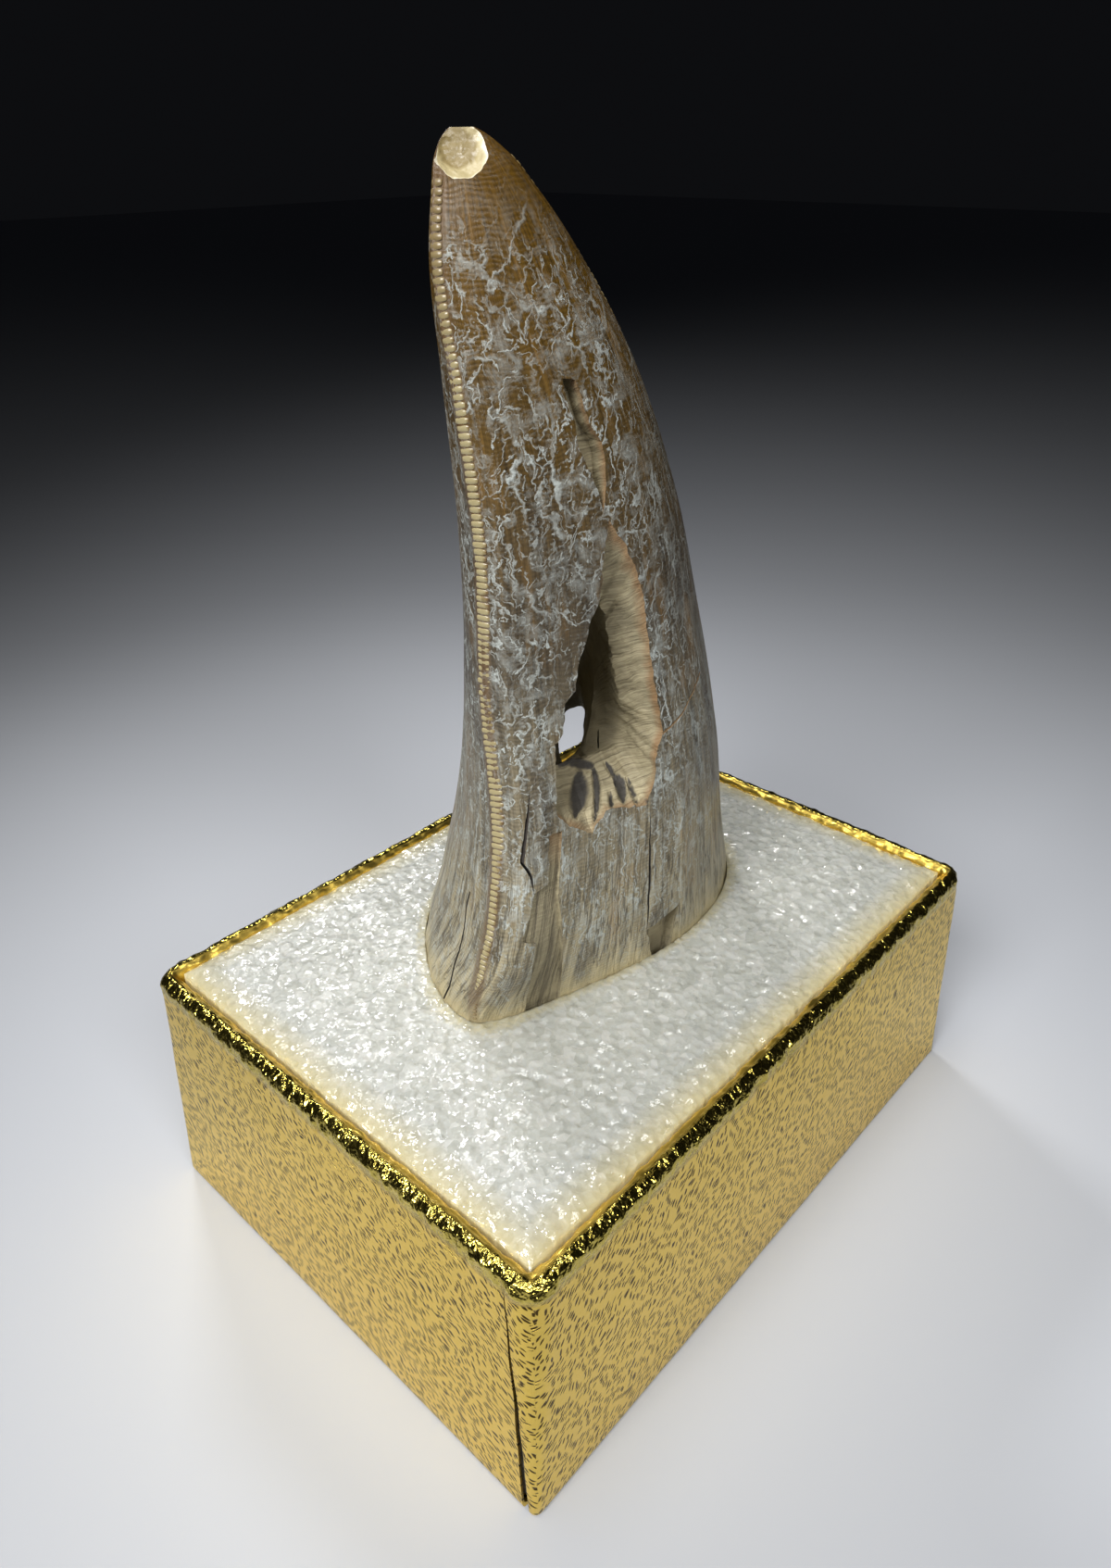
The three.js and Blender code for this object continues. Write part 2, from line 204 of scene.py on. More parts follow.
# Places where the enamel and some dentine have gone, as [along, up] outlines
FISSURE = [
    (-7.5, 52), (-7.4, 50.8), (-6.8, 49), (-6.5, 47.2), (-5.7, 45.7), (-5, 43.9),
    (-4.7, 42.6), (-4.5, 43.7), (-4.3, 46.1), (-4.5, 47.5), (-5.5, 48.8), (-6.4, 51.9),
]
STEP = [
    (-11.6, 18.4), (-12.4, 14.4), (-13.8, 14.2), (-14.3, 12.8), (-15.4, 10.2),
    (-14.1, 9.5), (-14.3, 6.9), (-13.6, -2), (-10.3, -2), (-10.4, 1.7),
    (-11.1, 8.3), (-11.4, 12.9), (-10.3, 18.4),
]
NOTCH = [(-1.4, 4.4), (2.6, 5.2), (2.4, -2), (0.6, -2)]
CRACKS = [
    [(-12.6, 22.5), (-13.3, 20), (-14.2, 16.8), (-13.8, 15.6), (-13.8, 14)],
    [(-1.3, 17.8), (-1.6, 12), (-1.7, 8), (-1.4, 4)],
]
CRACK_WIDTH = 0.24
# Crack down the far face beside the serrated edge: how far short of the angle pi, and up
BACK_CRACK = [(0.29, 11.6), (0.3, 10), (0.27, 8.2), (0.23, 6), (0.2, 4.4), (0.12, 2.2), (0.11, 0.3)]
SCRATCH = [(0.8, 23.1), (3.5, 23.9), (7.3, 26), (7.2, 26.15), (3.5, 24.1), (0.8, 23.3)]
# Flakes off the tip, as rough balls: places and radii
CHIPS = [((-13.4, -4.3, 67.25), 4), ((-12.95, -2.6, 66.1), 2.1)]
# Middle of the second flake's scar, which is tan
SECOND_SCAR = (-11.95, -1.1, 65.35)


def linear(hex_colour):
    """sRGB hex to the linear colour that shaders take."""
    parts = [int(hex_colour[k:k + 2], 16) / 255 for k in (1, 3, 5)]
    return [c / 12.92 if c <= 0.04045 else ((c + 0.055) / 1.055) ** 2.4 for c in parts] + [1]


def grain(points, size, seed=0):
    """Smooth noise, about -1 to 1, with features of `size` millimetres."""
    shift = Vector((seed * 17.3, seed * 5.1, seed * 9.7))
    return np.array([noise.noise(Vector(p) / size + shift) for p in points])


def shaped(name, points, faces, *materials):
    """A smooth mesh object from points in millimetres, in triangles so that a cut
    leaves every face flat."""
    mesh = bpy.data.meshes.new(name)
    mesh.from_pydata((np.asarray(points) * MM).tolist(), [], faces)
    body = bmesh.new()
    body.from_mesh(mesh)
    bmesh.ops.triangulate(body, faces=body.faces)
    body.to_mesh(mesh)
    body.free()
    mesh.polygons.foreach_set("use_smooth", [True] * len(mesh.polygons))
    for material in materials:
        mesh.materials.append(material)
    piece = bpy.data.objects.new(name, mesh)
    bpy.context.scene.collection.objects.link(piece)
    return piece


def corners_of(mesh):
    """The places of a mesh's points, in millimetres."""
    return np.array([v.co for v in mesh.vertices]) / MM


def noted(mesh, name, values):
    """Keeps a number or a vector at each point, for the materials to read."""
    kind = "FLOAT" if values.ndim == 1 else "FLOAT_VECTOR"
    layer = mesh.attributes.new(name, kind, "POINT")
    key = "value" if values.ndim == 1 else "vector"
    layer.data.foreach_set(key, values.astype(np.float32).ravel())


def loft(rings):
    """Points and faces of a closed solid through rings of equal length."""
    rings = np.asarray(rings)
    count, size = rings.shape[:2]
    here = np.arange(size)
    ahead = (here + 1) % size
    faces = []
    for low in range(0, (count - 1) * size, size):
        high = low + size
        faces += np.column_stack([low + here, low + ahead, high + ahead, high + here]).tolist()
    foot, head, last = count * size, count * size + 1, (count - 1) * size
    faces += np.column_stack([np.full(size, foot), ahead, here]).tolist()
    faces += np.column_stack([np.full(size, head), last + here, last + ahead]).tolist()
    return np.vstack([rings.reshape(-1, 3), rings[0].mean(0), rings[-1].mean(0)]), faces


def boolean(piece, tool, operation):
    """Joins one solid to another or cuts it, and removes the tool."""
    step = piece.modifiers.new("boolean", "BOOLEAN")
    step.operation = operation
    step.solver = "MANIFOLD"
    step.material_mode = "TRANSFER"
    step.object = tool
    bpy.context.view_layer.update()
    dressed = piece.evaluated_get(bpy.context.evaluated_depsgraph_get())
    mesh = bpy.data.meshes.new_from_object(dressed)
    piece.modifiers.clear()
    piece.data = mesh
    bpy.data.objects.remove(tool)


def creased(mesh, degrees):
    """Smooth shading that stops at sharp edges and where one finish meets another."""
    body = bmesh.new()
    body.from_mesh(mesh)
    limit = math.radians(degrees)
    for face in body.faces:
        face.smooth = True
    for edge in body.edges:
        if len(edge.link_faces) == 2:
            one, other = edge.link_faces
            flat = edge.calc_face_angle(0) < limit
            edge.smooth = flat and one.material_index == other.material_index
    body.to_mesh(mesh)
    body.free()


def crown_at(z):
    """The crown's values at heights z, on a smooth line through the listed rows."""
    z = np.asarray(z, float)
    heights, rows = CROWN[:, 0], CROWN[:, 1:]
    secant = np.diff(rows, axis=0) / np.diff(heights)[:, None]
    slope = np.vstack([secant[:1], (secant[1:] + secant[:-1]) / 2, secant[-1:]])
    k = np.clip(np.searchsorted(heights, z, side="right") - 1, 0, len(heights) - 2)
    span = (heights[k + 1] - heights[k])[..., None]
    p = (z - heights[k])[..., None] / span
    line = rows[k] * (1 + 2 * p) * (1 - p) ** 2 + rows[k + 1] * p * p * (3 - 2 * p)
    line += slope[k] * span * p * (1 - p) ** 2 - slope[k + 1] * span * p * p * (1 - p)
    return np.moveaxis(line, -1, 0)


def back_edge(z):
    """The angle of the serrated back edge, which turns to the near face at the base."""
    turn, reach = 0.28, 8
    return math.pi + turn * np.clip(1 - z / reach, 0, 1) ** 1.3


def back_row_angle(z):
    """The angle of the back denticles: a little past the ridge, and more so higher up."""
    return back_edge(z) + 0.03 + z / 1600


def front_row_angle(z):
    """The angle of the front denticles, which are on the near side at the tip only."""
    at_tip, tip_foot, reach, turn = -0.4, 56, 40, 0.9 / 32
    return at_tip + turn * np.clip(tip_foot - z, 0, reach)


def skin(angle, z, grow=0):
    """Points of the crown's skin. Angle 0 is the front edge and pi the back."""
    along, across, long, wide, bend = crown_at(z)
    back = np.maximum(-np.cos(angle), 0)
    keel = KEEL * np.exp(-(((angle - back_edge(z)) / KEEL_ANGLE) ** 2))
    m = (long - EDGE + grow) * np.cos(angle) - keel
    w = (wide + grow) * np.sin(angle) - bend * wide * back ** 3
    twist = TOOTH_TWIST * z / TOOTH_TOP
    x = along + m * np.cos(twist) - w * np.sin(twist)
    y = across + m * np.sin(twist) + w * np.cos(twist)
    return np.stack(np.broadcast_arrays(x, y, z), -1)


def crown_place(points):
    """Where points lie in the crown: shares of its half length and half width."""
    z = points[:, 2]
    along, across, long, wide, bend = crown_at(z)
    twist = TOOTH_TWIST * z / TOOTH_TOP
    x, y = points[:, 0] - along, points[:, 1] - across
    m = (x * np.cos(twist) + y * np.sin(twist)) / np.maximum(long - EDGE, 0.4)
    w = (-x * np.sin(twist) + y * np.cos(twist)) / np.maximum(wide, 0.3)
    return m, w + bend * np.clip(-m, 0, 1) ** 3


def near_skin(m, z):
    """How far across the near skin lies at points of the [along, up] plane."""
    along, across, long, wide, bend = crown_at(z)
    share = np.clip((m - along) / (long - EDGE), -1, 1)
    return across - wide * np.sqrt(1 - share ** 2) - bend * wide * np.maximum(-share, 0) ** 3


def in_box(points):
    """From the tooth's own frame to the frame of the box."""
    c, s = math.cos(TOOTH_TURN), math.sin(TOOTH_TURN)
    x, y, z = np.asarray(points).T
    return np.stack([x * c - y * s, x * s + y * c, z], -1) + TOOTH_PLACE


def in_crown(points):
    """From the frame of the box to the tooth's own frame."""
    c, s = math.cos(TOOTH_TURN), math.sin(TOOTH_TURN)
    x, y, z = (np.asarray(points) - TOOTH_PLACE).T
    return np.stack([x * c + y * s, y * c - x * s, z], -1)


def crown_rings(heights, columns, grow=0):
    """Rings of the crown's skin at some heights, `grow` outside it."""
    angles = np.linspace(0, 2 * math.pi, columns, endpoint=False)
    return np.array([skin(angles, np.full(columns, z), grow) for z in heights])


def crown_heights(rows):
    """Heights of the crown's rows: a few in the foam, then closer towards the tip."""
    share = np.linspace(0, 1, rows)
    rise = TOOTH_TOP + ROWS_SUNK
    above = rise - rise * (1 - share) ** 1.15
    return np.concatenate([[TOOTH_FOOT, -8, -5, -3], above - ROWS_SUNK])


def worn_crown():
    """The crown with its broad swells, and lengthways wrinkles that fade upwards."""
    rings = crown_rings(crown_heights(CROWN_ROWS), CROWN_COLUMNS)
    points = rings.reshape(-1, 3)
    outward = (rings - rings.mean(1, keepdims=True)).reshape(-1, 3) * (1, 1, 0)
    outward /= np.linalg.norm(outward, axis=1)[:, None]
    swell = 0.14 * grain(points * (1, 1, 0.5), 7, 3)
    # Wrinkles 1.5 and 0.8 mm wide, drawn out to eight times that, and shallow from 40 mm up
    m, w = crown_place(points)
    drawn = np.column_stack([m * 17, w * 11, points[:, 2] * 0.13])
    wrinkle = 0.12 * grain(drawn, 1.5, 5) + 0.07 * grain(drawn, 0.8, 6)
    low = np.clip(1.15 - points[:, 2] / 40, 0.12, 1)
    calm = np.clip((TOOTH_TOP - points[:, 2]) / 4, 0, 1)
    lift = (swell + low * wrinkle) * calm
    return loft((points + outward * lift[:, None]).reshape(rings.shape))


def denticle(place, along, away, size):
    """One rounded chisel-shaped lump that stands on the crown's edge."""
    side = np.cross(away, along)
    polar = np.linspace(0, math.pi, 8)[1:-1, None]
    turn = np.linspace(0, 2 * math.pi, 12, endpoint=False)[None]
    unit = [np.sin(polar) * np.cos(turn), np.cos(polar) + 0 * turn, np.sin(polar) * np.sin(turn)]
    # Powers under 1 make the ball blocky
    unit = [np.sign(u) * np.abs(u) ** power for u, power in zip(unit, (0.5, 0.8, 0.8))]
    rings = sum(u[..., None] * s * v for u, s, v in zip(unit, size, (along, side, away)))
    points, faces = loft(rings + place)
    points[-2:] = place + side * size[1], place - side * size[1]
    return points, faces


def denticle_row(angle_at, seed, heights, out, width, height):
    """Denticles at an even pitch along one edge of the crown, as one mesh."""
    fine = np.linspace(*heights, 800)
    line = skin(np.array([angle_at(z) for z in fine]), fine)
    run = np.concatenate([[0], np.cumsum(np.linalg.norm(np.diff(line, axis=0), axis=1))])
    rng = np.random.default_rng(seed)
    points, faces, first = [], [], 0
    for spot in np.arange(PITCH / 2, run[-1], PITCH):
        place, ahead = [
            np.array([np.interp(s, run, line[:, a]) for a in range(3)]) for s in (spot, spot + 0.2)
        ]
        along = (ahead - place) / np.linalg.norm(ahead - place)
        away = out - along * np.dot(out, along)
        away /= np.linalg.norm(away)
        broad = width * np.interp(place[2], *DENTICLE_WIDTHS)
        size = np.array([DENTICLE_HALF, broad, height]) * (1, *rng.normal(1, 0.07, 2))
        some, sides = denticle(place - DENTICLE_SUNK * away, along, away, size)
        points.append(some)
        faces += [[first + k for k in side] for side in sides]
        first += len(some)
    return np.vstack(points), faces


def finer(outline, step):
    """Where to put points about `step` apart round an outline: side and share."""
    spots = []
    for k, (a, b) in enumerate(zip(outline, np.roll(outline, -1, axis=0))):
        count = max(2, round(math.dist(a, b) / step))
        spots += [(k, t / count) for t in range(count)]
    return spots


def on_outline(outline, spots):
    """The points of an outline at the spots that `finer` gives."""
    ends = np.roll(outline, -1, axis=0)
    return np.array([np.asarray(outline[k]) * (1 - t) + ends[k] * t for k, t in spots])


def clockwise(outline):
    """The outline in the order that turns a loft along +Y outside out."""
    m, z = np.asarray(outline, float).T
    area = np.sum(m * np.roll(z, -1) - np.roll(m, -1) * z)
    return np.asarray(outline, float)[::-1] if area > 0 else np.asarray(outline, float)


def ragged(flat, amount, seed):
    """An outline whose points wander a little, as broken enamel does."""
    deep = np.column_stack([flat, np.zeros(len(flat))])
    shift = [grain(deep, 0.9, seed + k) + 0.5 * grain(deep, 0.35, seed + 7 + k) for k in (0, 1)]
    return flat + amount * np.stack(shift, -1)


def placed(flat, across):
    """Points from [along, up] pairs and how far across they lie."""
    return np.column_stack([flat[:, 0], np.broadcast_to(across, len(flat)), flat[:, 1]])


def off_line(spots, line):
    """How far spots lie from a line in their plane, and the line's half width there if
    its points have one."""
    nearest = np.full(len(spots), 1e9)
    width = np.zeros(len(spots))
    for one, other in zip(line, line[1:]):
        step = other[:2] - one[:2]
        share = np.clip((spots - one[:2]) @ step / (step @ step), 0, 1)[:, None]
        off = np.linalg.norm(spots - one[:2] - share * step, axis=1)
        if len(one) > 2:
            width = np.where(off < nearest, one[2] + (other[2] - one[2]) * share[:, 0], width)
        nearest = np.minimum(nearest, off)
    return nearest, width


def striped(m, w, z):
    """1 in the dark stripes of the face below the break and 0 on the pale ribs."""
    inwards = w - STRIPES_AT
    spot = np.stack([m - STRIPES_SLANT[0] * inwards, z - STRIPES_SLANT[1] * inwards], -1)
    wander = [grain(np.column_stack([spot, 0 * m]), 0.4, seed) for seed in (1, 2)]
    spot = spot + 0.1 * np.stack(wander, -1)
    shade = np.zeros(len(spot))
    for line in STRIPES:
        off, half = off_line(spot, np.array(line))
        shade = np.maximum(shade, np.exp(-((off / half) ** 4)))
    return shade


def break_tool():
    """From in front of the break, through the wall and the hollow, out at the far side."""
    spots = finer(BREAK_RIM, 0.17)
    rings = wall_rings(spots)
    rings = np.array(rings + hollow_rings(spots, rings[-1]))
    # Everything behind the enamel's edge is rough
    inner = rings[3:].reshape(-1, 3)
    rough = [grain(inner, 1.7, 20 + k) + 0.4 * grain(inner, 0.6, 24 + k) for k in range(3)]
    rings[3:] += (0.13 * np.stack(rough, -1)).reshape(rings[3:].shape)
    return loft(rings)


def wall_rings(spots):
    """The break through the near wall, with grooves where the dark stripes run."""
    rim = ragged(on_outline(BREAK_RIM, spots), 0.2, 11)
    throat = ragged(on_outline(BREAK_THROAT, spots), 0.22, 12)
    face = near_skin(rim[:, 0], rim[:, 1])
    rings = [placed(rim, -OUTSIDE), placed(rim, face - 0.4)]
    # Only the sill of the break is grooved, up to near its front end, and each groove
    # fades towards both edges of the wall
    sill, sill_end = 22.3, -1.2
    below = np.clip((sill - rim[:, 1]) / 1.5, 0, 1) * np.clip((sill_end - rim[:, 0]) / 0.8, 0, 1)
    for share in np.linspace(0, 1, 30):
        flat = rim * (1 - share) + throat * share
        across = face * (1 - share) + THROAT_ACROSS * share
        fade = min(1, 6 * share, 3.2 * (1 - share)) * STRIPE_DEPTH
        flat[:, 1] -= below * striped(flat[:, 0], across, flat[:, 1]) * fade
        rings.append(placed(flat, across))
    return rings


def hollow_rings(spots, throat):
    """The hollow from the throat on, through ovals that are a little squarer than true."""
    turn = np.array([(k + t) / len(BREAK_RIM) * 2 * math.pi for k, t in spots])
    right, above = [np.sign(part) * abs(part) ** 0.7 for part in (np.sin(turn), np.cos(turn))]
    chain = [throat]
    for across, along, up, long, high in HOLLOW:
        chain.append(placed(np.column_stack([along + long * right, up + high * above]), across))
    rings = []
    for low, high in zip(chain, chain[1:]):
        rings += [low * (1 - share) + high * share for share in np.linspace(0, 1, 9)[1:]]
    return rings


def gap_tool():
    """The thin gap beside the hollow's far end, open to the far side."""
    return loft([[(m + right, w, z + up) for right, up in GAP] for m, w, z in GAP_ENDS])


def recess_tool(outline, depth, seed, jitter, material):
    """What lies inside an outline on the near side, down to `depth` under the skin."""
    outline = clockwise(outline)
    flat = ragged(on_outline(outline, finer(outline, 0.25)), jitter, seed)
    face = near_skin(flat[:, 0], flat[:, 1])
    behind = 2.5
    tool = loft([placed(flat, -OUTSIDE), placed(flat, face + behind)])
    tool = shaped("tool", *tool, material)
    heights = np.linspace(TOOTH_FOOT - 1, TOOTH_TOP - 1, 130)
    core = shaped("core", *loft(crown_rings(heights, 96, -depth)), material)
    boolean(tool, core, "DIFFERENCE")
    return tool


def crack_outline(line):
    """A narrow outline round a crack's line, pointed at both ends."""
    line = np.array(line)
    half = np.array([CRACK_WIDTH / 2, 0])
    return np.vstack([line[:1], line[1:-1] - half, line[-1:], (line[1:-1] + half)[::-1]])


def back_crack_tool():
    """A thin crooked rod along the skin, which cuts the crack beside the back edge."""
    path = np.array([skin(math.pi - angle, z) for angle, z in BACK_CRACK])
    turn = np.linspace(0, 2 * math.pi, 7, endpoint=False)
    deep, wide = 0.3, 0.13
    oval = np.column_stack([deep * np.cos(turn), wide * np.sin(turn), 0 * turn])
    return loft([spot + oval[::-1] for spot in path])


def chip_tool(centre, radius):
    """A rough ball, which takes a flake off the tip."""
    polar = np.linspace(0, math.pi, 90)[1:-1, None]
    turn = np.linspace(0, 2 * math.pi, 140, endpoint=False)[None]
    unit = np.stack(np.broadcast_arrays(
        np.sin(polar) * np.cos(turn), np.sin(polar) * np.sin(turn), -np.cos(polar)), -1)
    ball = unit.reshape(-1, 3) * radius
    size = radius + 0.11 * grain(ball, 0.9, 41) + 0.05 * grain(ball, 0.3, 42)
    return loft(unit * size.reshape(unit.shape[:2])[..., None] + centre)


def fossil_tooth(enamel, serration, dentine, flake):
    """Crown, denticles, break, hollow, cracks and chipped tip, in one solid."""
    piece = shaped("fossil_tooth", *worn_crown(), enamel, serration, dentine, flake)
    rows = [denticle_row(back_row_angle, 1, *BACK_ROW), denticle_row(front_row_angle, 2, *FRONT_ROW)]
    for row in rows:
        boolean(piece, shaped("tool", *row, serration), "UNION")
    # Recesses of the near face, each with its depth and how ragged it is
    recesses = [(FISSURE, 1.5, 0.1), (STEP, 0.6, 0.1), (NOTCH, 1.2, 0.1)]
    recesses += [(crack_outline(line), 0.8, 0.06) for line in CRACKS]
    recesses.append((SCRATCH, 0.12, 0.03))
    for seed, (outline, depth, jitter) in enumerate(recesses, 31):
        boolean(piece, recess_tool(outline, depth, seed, jitter, dentine), "DIFFERENCE")
    for tool in (break_tool(), gap_tool(), back_crack_tool()):
        boolean(piece, shaped("tool", *tool, dentine), "DIFFERENCE")
    for centre, radius in CHIPS:
        boolean(piece, shaped("tool", *chip_tool(centre, radius), flake), "DIFFERENCE")
    describe_tooth(piece.data)
    creased(piece.data, 35)
    return piece


def eased(values, low, high):
    """A smooth step from 0 at `low` to 1 at `high`."""
    share = np.clip((values - low) / (high - low), 0, 1)
    return share * share * (3 - 2 * share)


def shade_and_mineral(points, depth):
    """1 where the broken faces are black and less where they are brown: painted shade in the hollow and
    the cracks, and black mineral down the grooves of the sill.
    """
    m, w, z = points.T
    # Painted shade, brown, in the hollow from a little behind its throat, but not on its floor
    across, _, up, _, high = np.array(HOLLOW).T
    fall = (np.interp(w, across, up) - z) / np.interp(w, across, high)
    floor = eased(fall, 0.35, 0.7) * eased(w, 0, 3)
    deep = 0.42 * eased(w, -4.9, -3.4) * (1 - floor)
    # Black down the grooves of the sill
    sill = (z > 16) & (z < 22.5) & (w < -3.5) & (m > -10.8) & (m < 1) & (depth > 0.1)
    # Painted shade, black, in the near cracks and where the step ends at the back edge
    flat = np.column_stack([m, z])
    crack = sum(np.exp(-((off_line(flat, np.array(line))[0] / 0.35) ** 4)) for line in CRACKS)
    crack = crack * (w < 0) + (m < -15.5) * (z < 12.5)
    return np.maximum(np.maximum(deep, crack), sill * striped(m, w, z))


def describe_tooth(mesh):
    """Notes at each point what its colour depends on, then stands the tooth in place."""
    points = corners_of(mesh)
    m, w = crown_place(points)
    long, wide = crown_at(points[:, 2])[2:4]
    reach = np.hypot(m, w)
    radius = np.hypot(m * HALF_LENGTH, w * wide) / np.maximum(reach, 1e-3)
    noted(mesh, "crown", np.column_stack([m * HALF_LENGTH, w * HALF_WIDTH, points[:, 2]]))
    noted(mesh, "own", points)
    noted(mesh, "depth", (1 - reach) * np.minimum(radius, 20))
    back = back_edge(points[:, 2])
    noted(mesh, "edge", np.hypot((m - np.cos(back)) * long, (w - np.sin(back)) * wide))
    noted(mesh, "dark", shade_and_mineral(points, (1 - reach) * radius))
    mesh.vertices.foreach_set("co", (in_box(points) * MM).ravel())


def box_spots():
    """Spots round the box: two corner points, each a corner and a turn in quarters, and
    the share between them."""
    spots = []
    for q in range(4):
        spots += [(q, q + k / CORNER_STEPS, q, q, 0) for k in range(CORNER_STEPS)]
        side = (BOX_WIDTH if q % 2 else BOX_LENGTH) - 2 * CORNER_RADIUS
        count = round(side / FOIL_STEP)
        spots += [(q, q + 1, (q + 1) % 4, q + 1, k / count) for k in range(count)]
    return np.array(spots)


def flare(z):
    """How much longer and wider than at its rim the box is at height z."""
    return FOOT_SPREAD + (1 - FOOT_SPREAD) * z / BOX_HEIGHT


def box_line(spots, inset, z):
    """A line round the box, `inset` inside the foil's outer face, at height z."""
    inset, z = np.broadcast_arrays(inset, z, spots[:, 0])[:2]
    spread = flare(z)
    radius = np.maximum(CORNER_RADIUS * (0.3 + 0.7 * z / BOX_HEIGHT) - inset, 0.4)
    half = np.stack([BOX_LENGTH / 2 * spread, BOX_WIDTH / 2 * spread], -1)
    half = half - (inset + radius)[:, None]
    ends = []
    for corner, turn in (spots[:, :2].T, spots[:, 2:4].T):
        turn = turn * math.pi / 2
        out = np.stack([np.cos(turn), np.sin(turn)], -1)
        ends.append(SIGNS[corner.astype(int)] * half + radius[:, None] * out)
    share = spots[:, 4:]
    return np.column_stack([ends[0] * (1 - share) + ends[1] * share, z])


def foil_profile():
    """The foil's section: out along the underside, up the wall, over the rim, down
    inside, and back along its inner face. Each point is an inset and a height."""
    low = [(inset, 0) for inset in np.linspace(TURN_IN, 0.6, 5)] + [(0.3, 0.02), (0.1, 0.15)]
    wall = [(0, z) for z in np.linspace(0.5, BOX_HEIGHT - 1, 20)]
    half = WALL / 2
    turn = np.linspace(0, math.pi, 15)
    bead = [(half - half * math.cos(a), BOX_HEIGHT - half + half * math.sin(a)) for a in turn]
    inside = [(WALL, z) for z in np.linspace(BOX_HEIGHT - 1.6, BOX_HEIGHT - TURN_IN, 6)]
    outer = low + wall + bead + inside
    thin = half - FOIL
    back = [(WALL - FOIL, BOX_HEIGHT - TURN_IN), (WALL - FOIL, BOX_HEIGHT - half)]
    back += [(half + thin * math.cos(a), BOX_HEIGHT - half + thin * math.sin(a)) for a in turn[2:-2:2]]
    back += [(FOIL, BOX_HEIGHT - half), (FOIL, 0.6), (0.6, FOIL), (TURN_IN, FOIL)]
    return outer, back


def wall_bulge(spots, inset, z):
    """How far the outer walls stand out: most at half height in the middle of a side."""
    middle = 4 * spots[:, 4] * (1 - spots[:, 4])
    return WALL_BULGE * (4 * z * (BOX_HEIGHT - z) / BOX_HEIGHT ** 2 * middle * (inset < WALL / 2))


def foil_rings(spots):
    """The foil's rings: crinkled and wavy at the rim, and a little uneven on the walls."""
    outer, back = foil_profile()
    rings = []
    for inset, z in outer:
        ring = box_line(spots, inset, z)
        # The crinkles grow over the last 2.2 mm, and are low on the inside
        rim = np.clip((z - BOX_HEIGHT + 2.2) / 1.2, 0, 1) * (0.25 if inset >= WALL else 1)
        crinkle = 0.15 * grain(ring * (1, 1, 1.4), 1.3, 51) + 0.14 * grain(ring, 0.65, 52)
        sway = 0.12 * grain(ring * (1, 1, 0), 6, 53)
        uneven = 0.05 * grain(ring, 4, 54)
        move = rim * (crinkle + sway) + uneven - wall_bulge(spots, inset, z)
        top = rim * np.clip(z - BOX_HEIGHT + 1, 0, 1)
        lift = top * (0.14 * grain(ring, 1.3, 55) + 0.1 * grain(ring, 0.6, 56) - 0.1)
        # The underside stays flat
        rings.append(box_line(spots, inset + np.where(z > 0.4, move, 0), z + lift))
    for inset, z in back:
        rings.append(box_line(spots, inset - wall_bulge(spots, inset, z), z))
    return rings


def slit_knife():
    """A thin wedge through the end wall, which widens and wanders on its way down."""
    top, foot = np.array(SLIT_TOP), np.array(SLIT_FOOT)
    line = np.array([top + (foot - top) * t for t in np.linspace(0, 1, 40)])
    width = np.linspace(0.1, 1, 40)[:, None] * (SLIT_WIDTH / 2, 0)
    sideways = 0.12 * grain(np.column_stack([line, 0 * line[:, 0]]), 3, 57)
    wander = np.column_stack([sideways, 0 * sideways])
    edge = np.vstack([line - width, (line + width)[::-1]]) + np.vstack([wander, wander[::-1]])
    x = -(BOX_LENGTH / 2) * FOOT_SPREAD
    outside, inside = x - 1, x + 2
    return loft([np.column_stack([0 * edge[:, 0] + at, edge]) for at in (outside, inside)])


def foil_cover(foil):
    """Foil paper round the tray, with a crinkled rim and a slit at the near corner."""
    spots = box_spots()
    rings = foil_rings(spots)
    points, faces = loft(rings)
    # The section closes on itself: the last ring joins the first, in place of the two ends
    here = np.arange(len(spots))
    ahead = (here + 1) % len(spots)
    last = (len(rings) - 1) * len(spots)
    faces = faces[:last] + np.column_stack([last + here, last + ahead, ahead, here]).tolist()
    piece = shaped("foil_cover", points[:-2], faces, foil)
    boolean(piece, shaped("tool", *slit_knife(), foil), "DIFFERENCE")
    lay_sheet(piece.data)
    x, y, z = corners_of(piece.data).T
    off_end, off_side = BOX_LENGTH / 2 * flare(z) - abs(x), BOX_WIDTH / 2 * flare(z) - abs(y)
    noted(piece.data, "inset", np.minimum(off_end, off_side))
    creased(piece.data, 50)
    return piece


def lay_sheet(mesh):
    """Where each face lies on the flat sheet that was folded round the tray."""
    layer = mesh.uv_layers.new(name="sheet")
    points = corners_of(mesh)
    flat = np.zeros((len(mesh.loops), 2))
    for face in mesh.polygons:
        cx, cy, cz = np.asarray(face.center) / MM
        under = abs(face.normal.z) > 0.8 and cz < 1
        slack_x, slack_y = BOX_LENGTH / 2 - abs(cx), BOX_WIDTH / 2 - abs(cy)
        for loop in face.loop_indices:
            x, y, z = points[mesh.loops[loop].vertex_index]
            if under:
                flat[loop] = x, y
            elif slack_x < slack_y:
                flat[loop] = math.copysign(BOX_LENGTH / 2 + z, cx), y
            else:
                flat[loop] = x, math.copysign(BOX_WIDTH / 2 + z, cy)
    layer.data.foreach_set("uv", (flat * MM).ravel())


def off_wall(x, y):
    """How far places on the foam lie from its nearest side."""
    return np.minimum(FOAM_X - abs(x), FOAM_Y - abs(y))


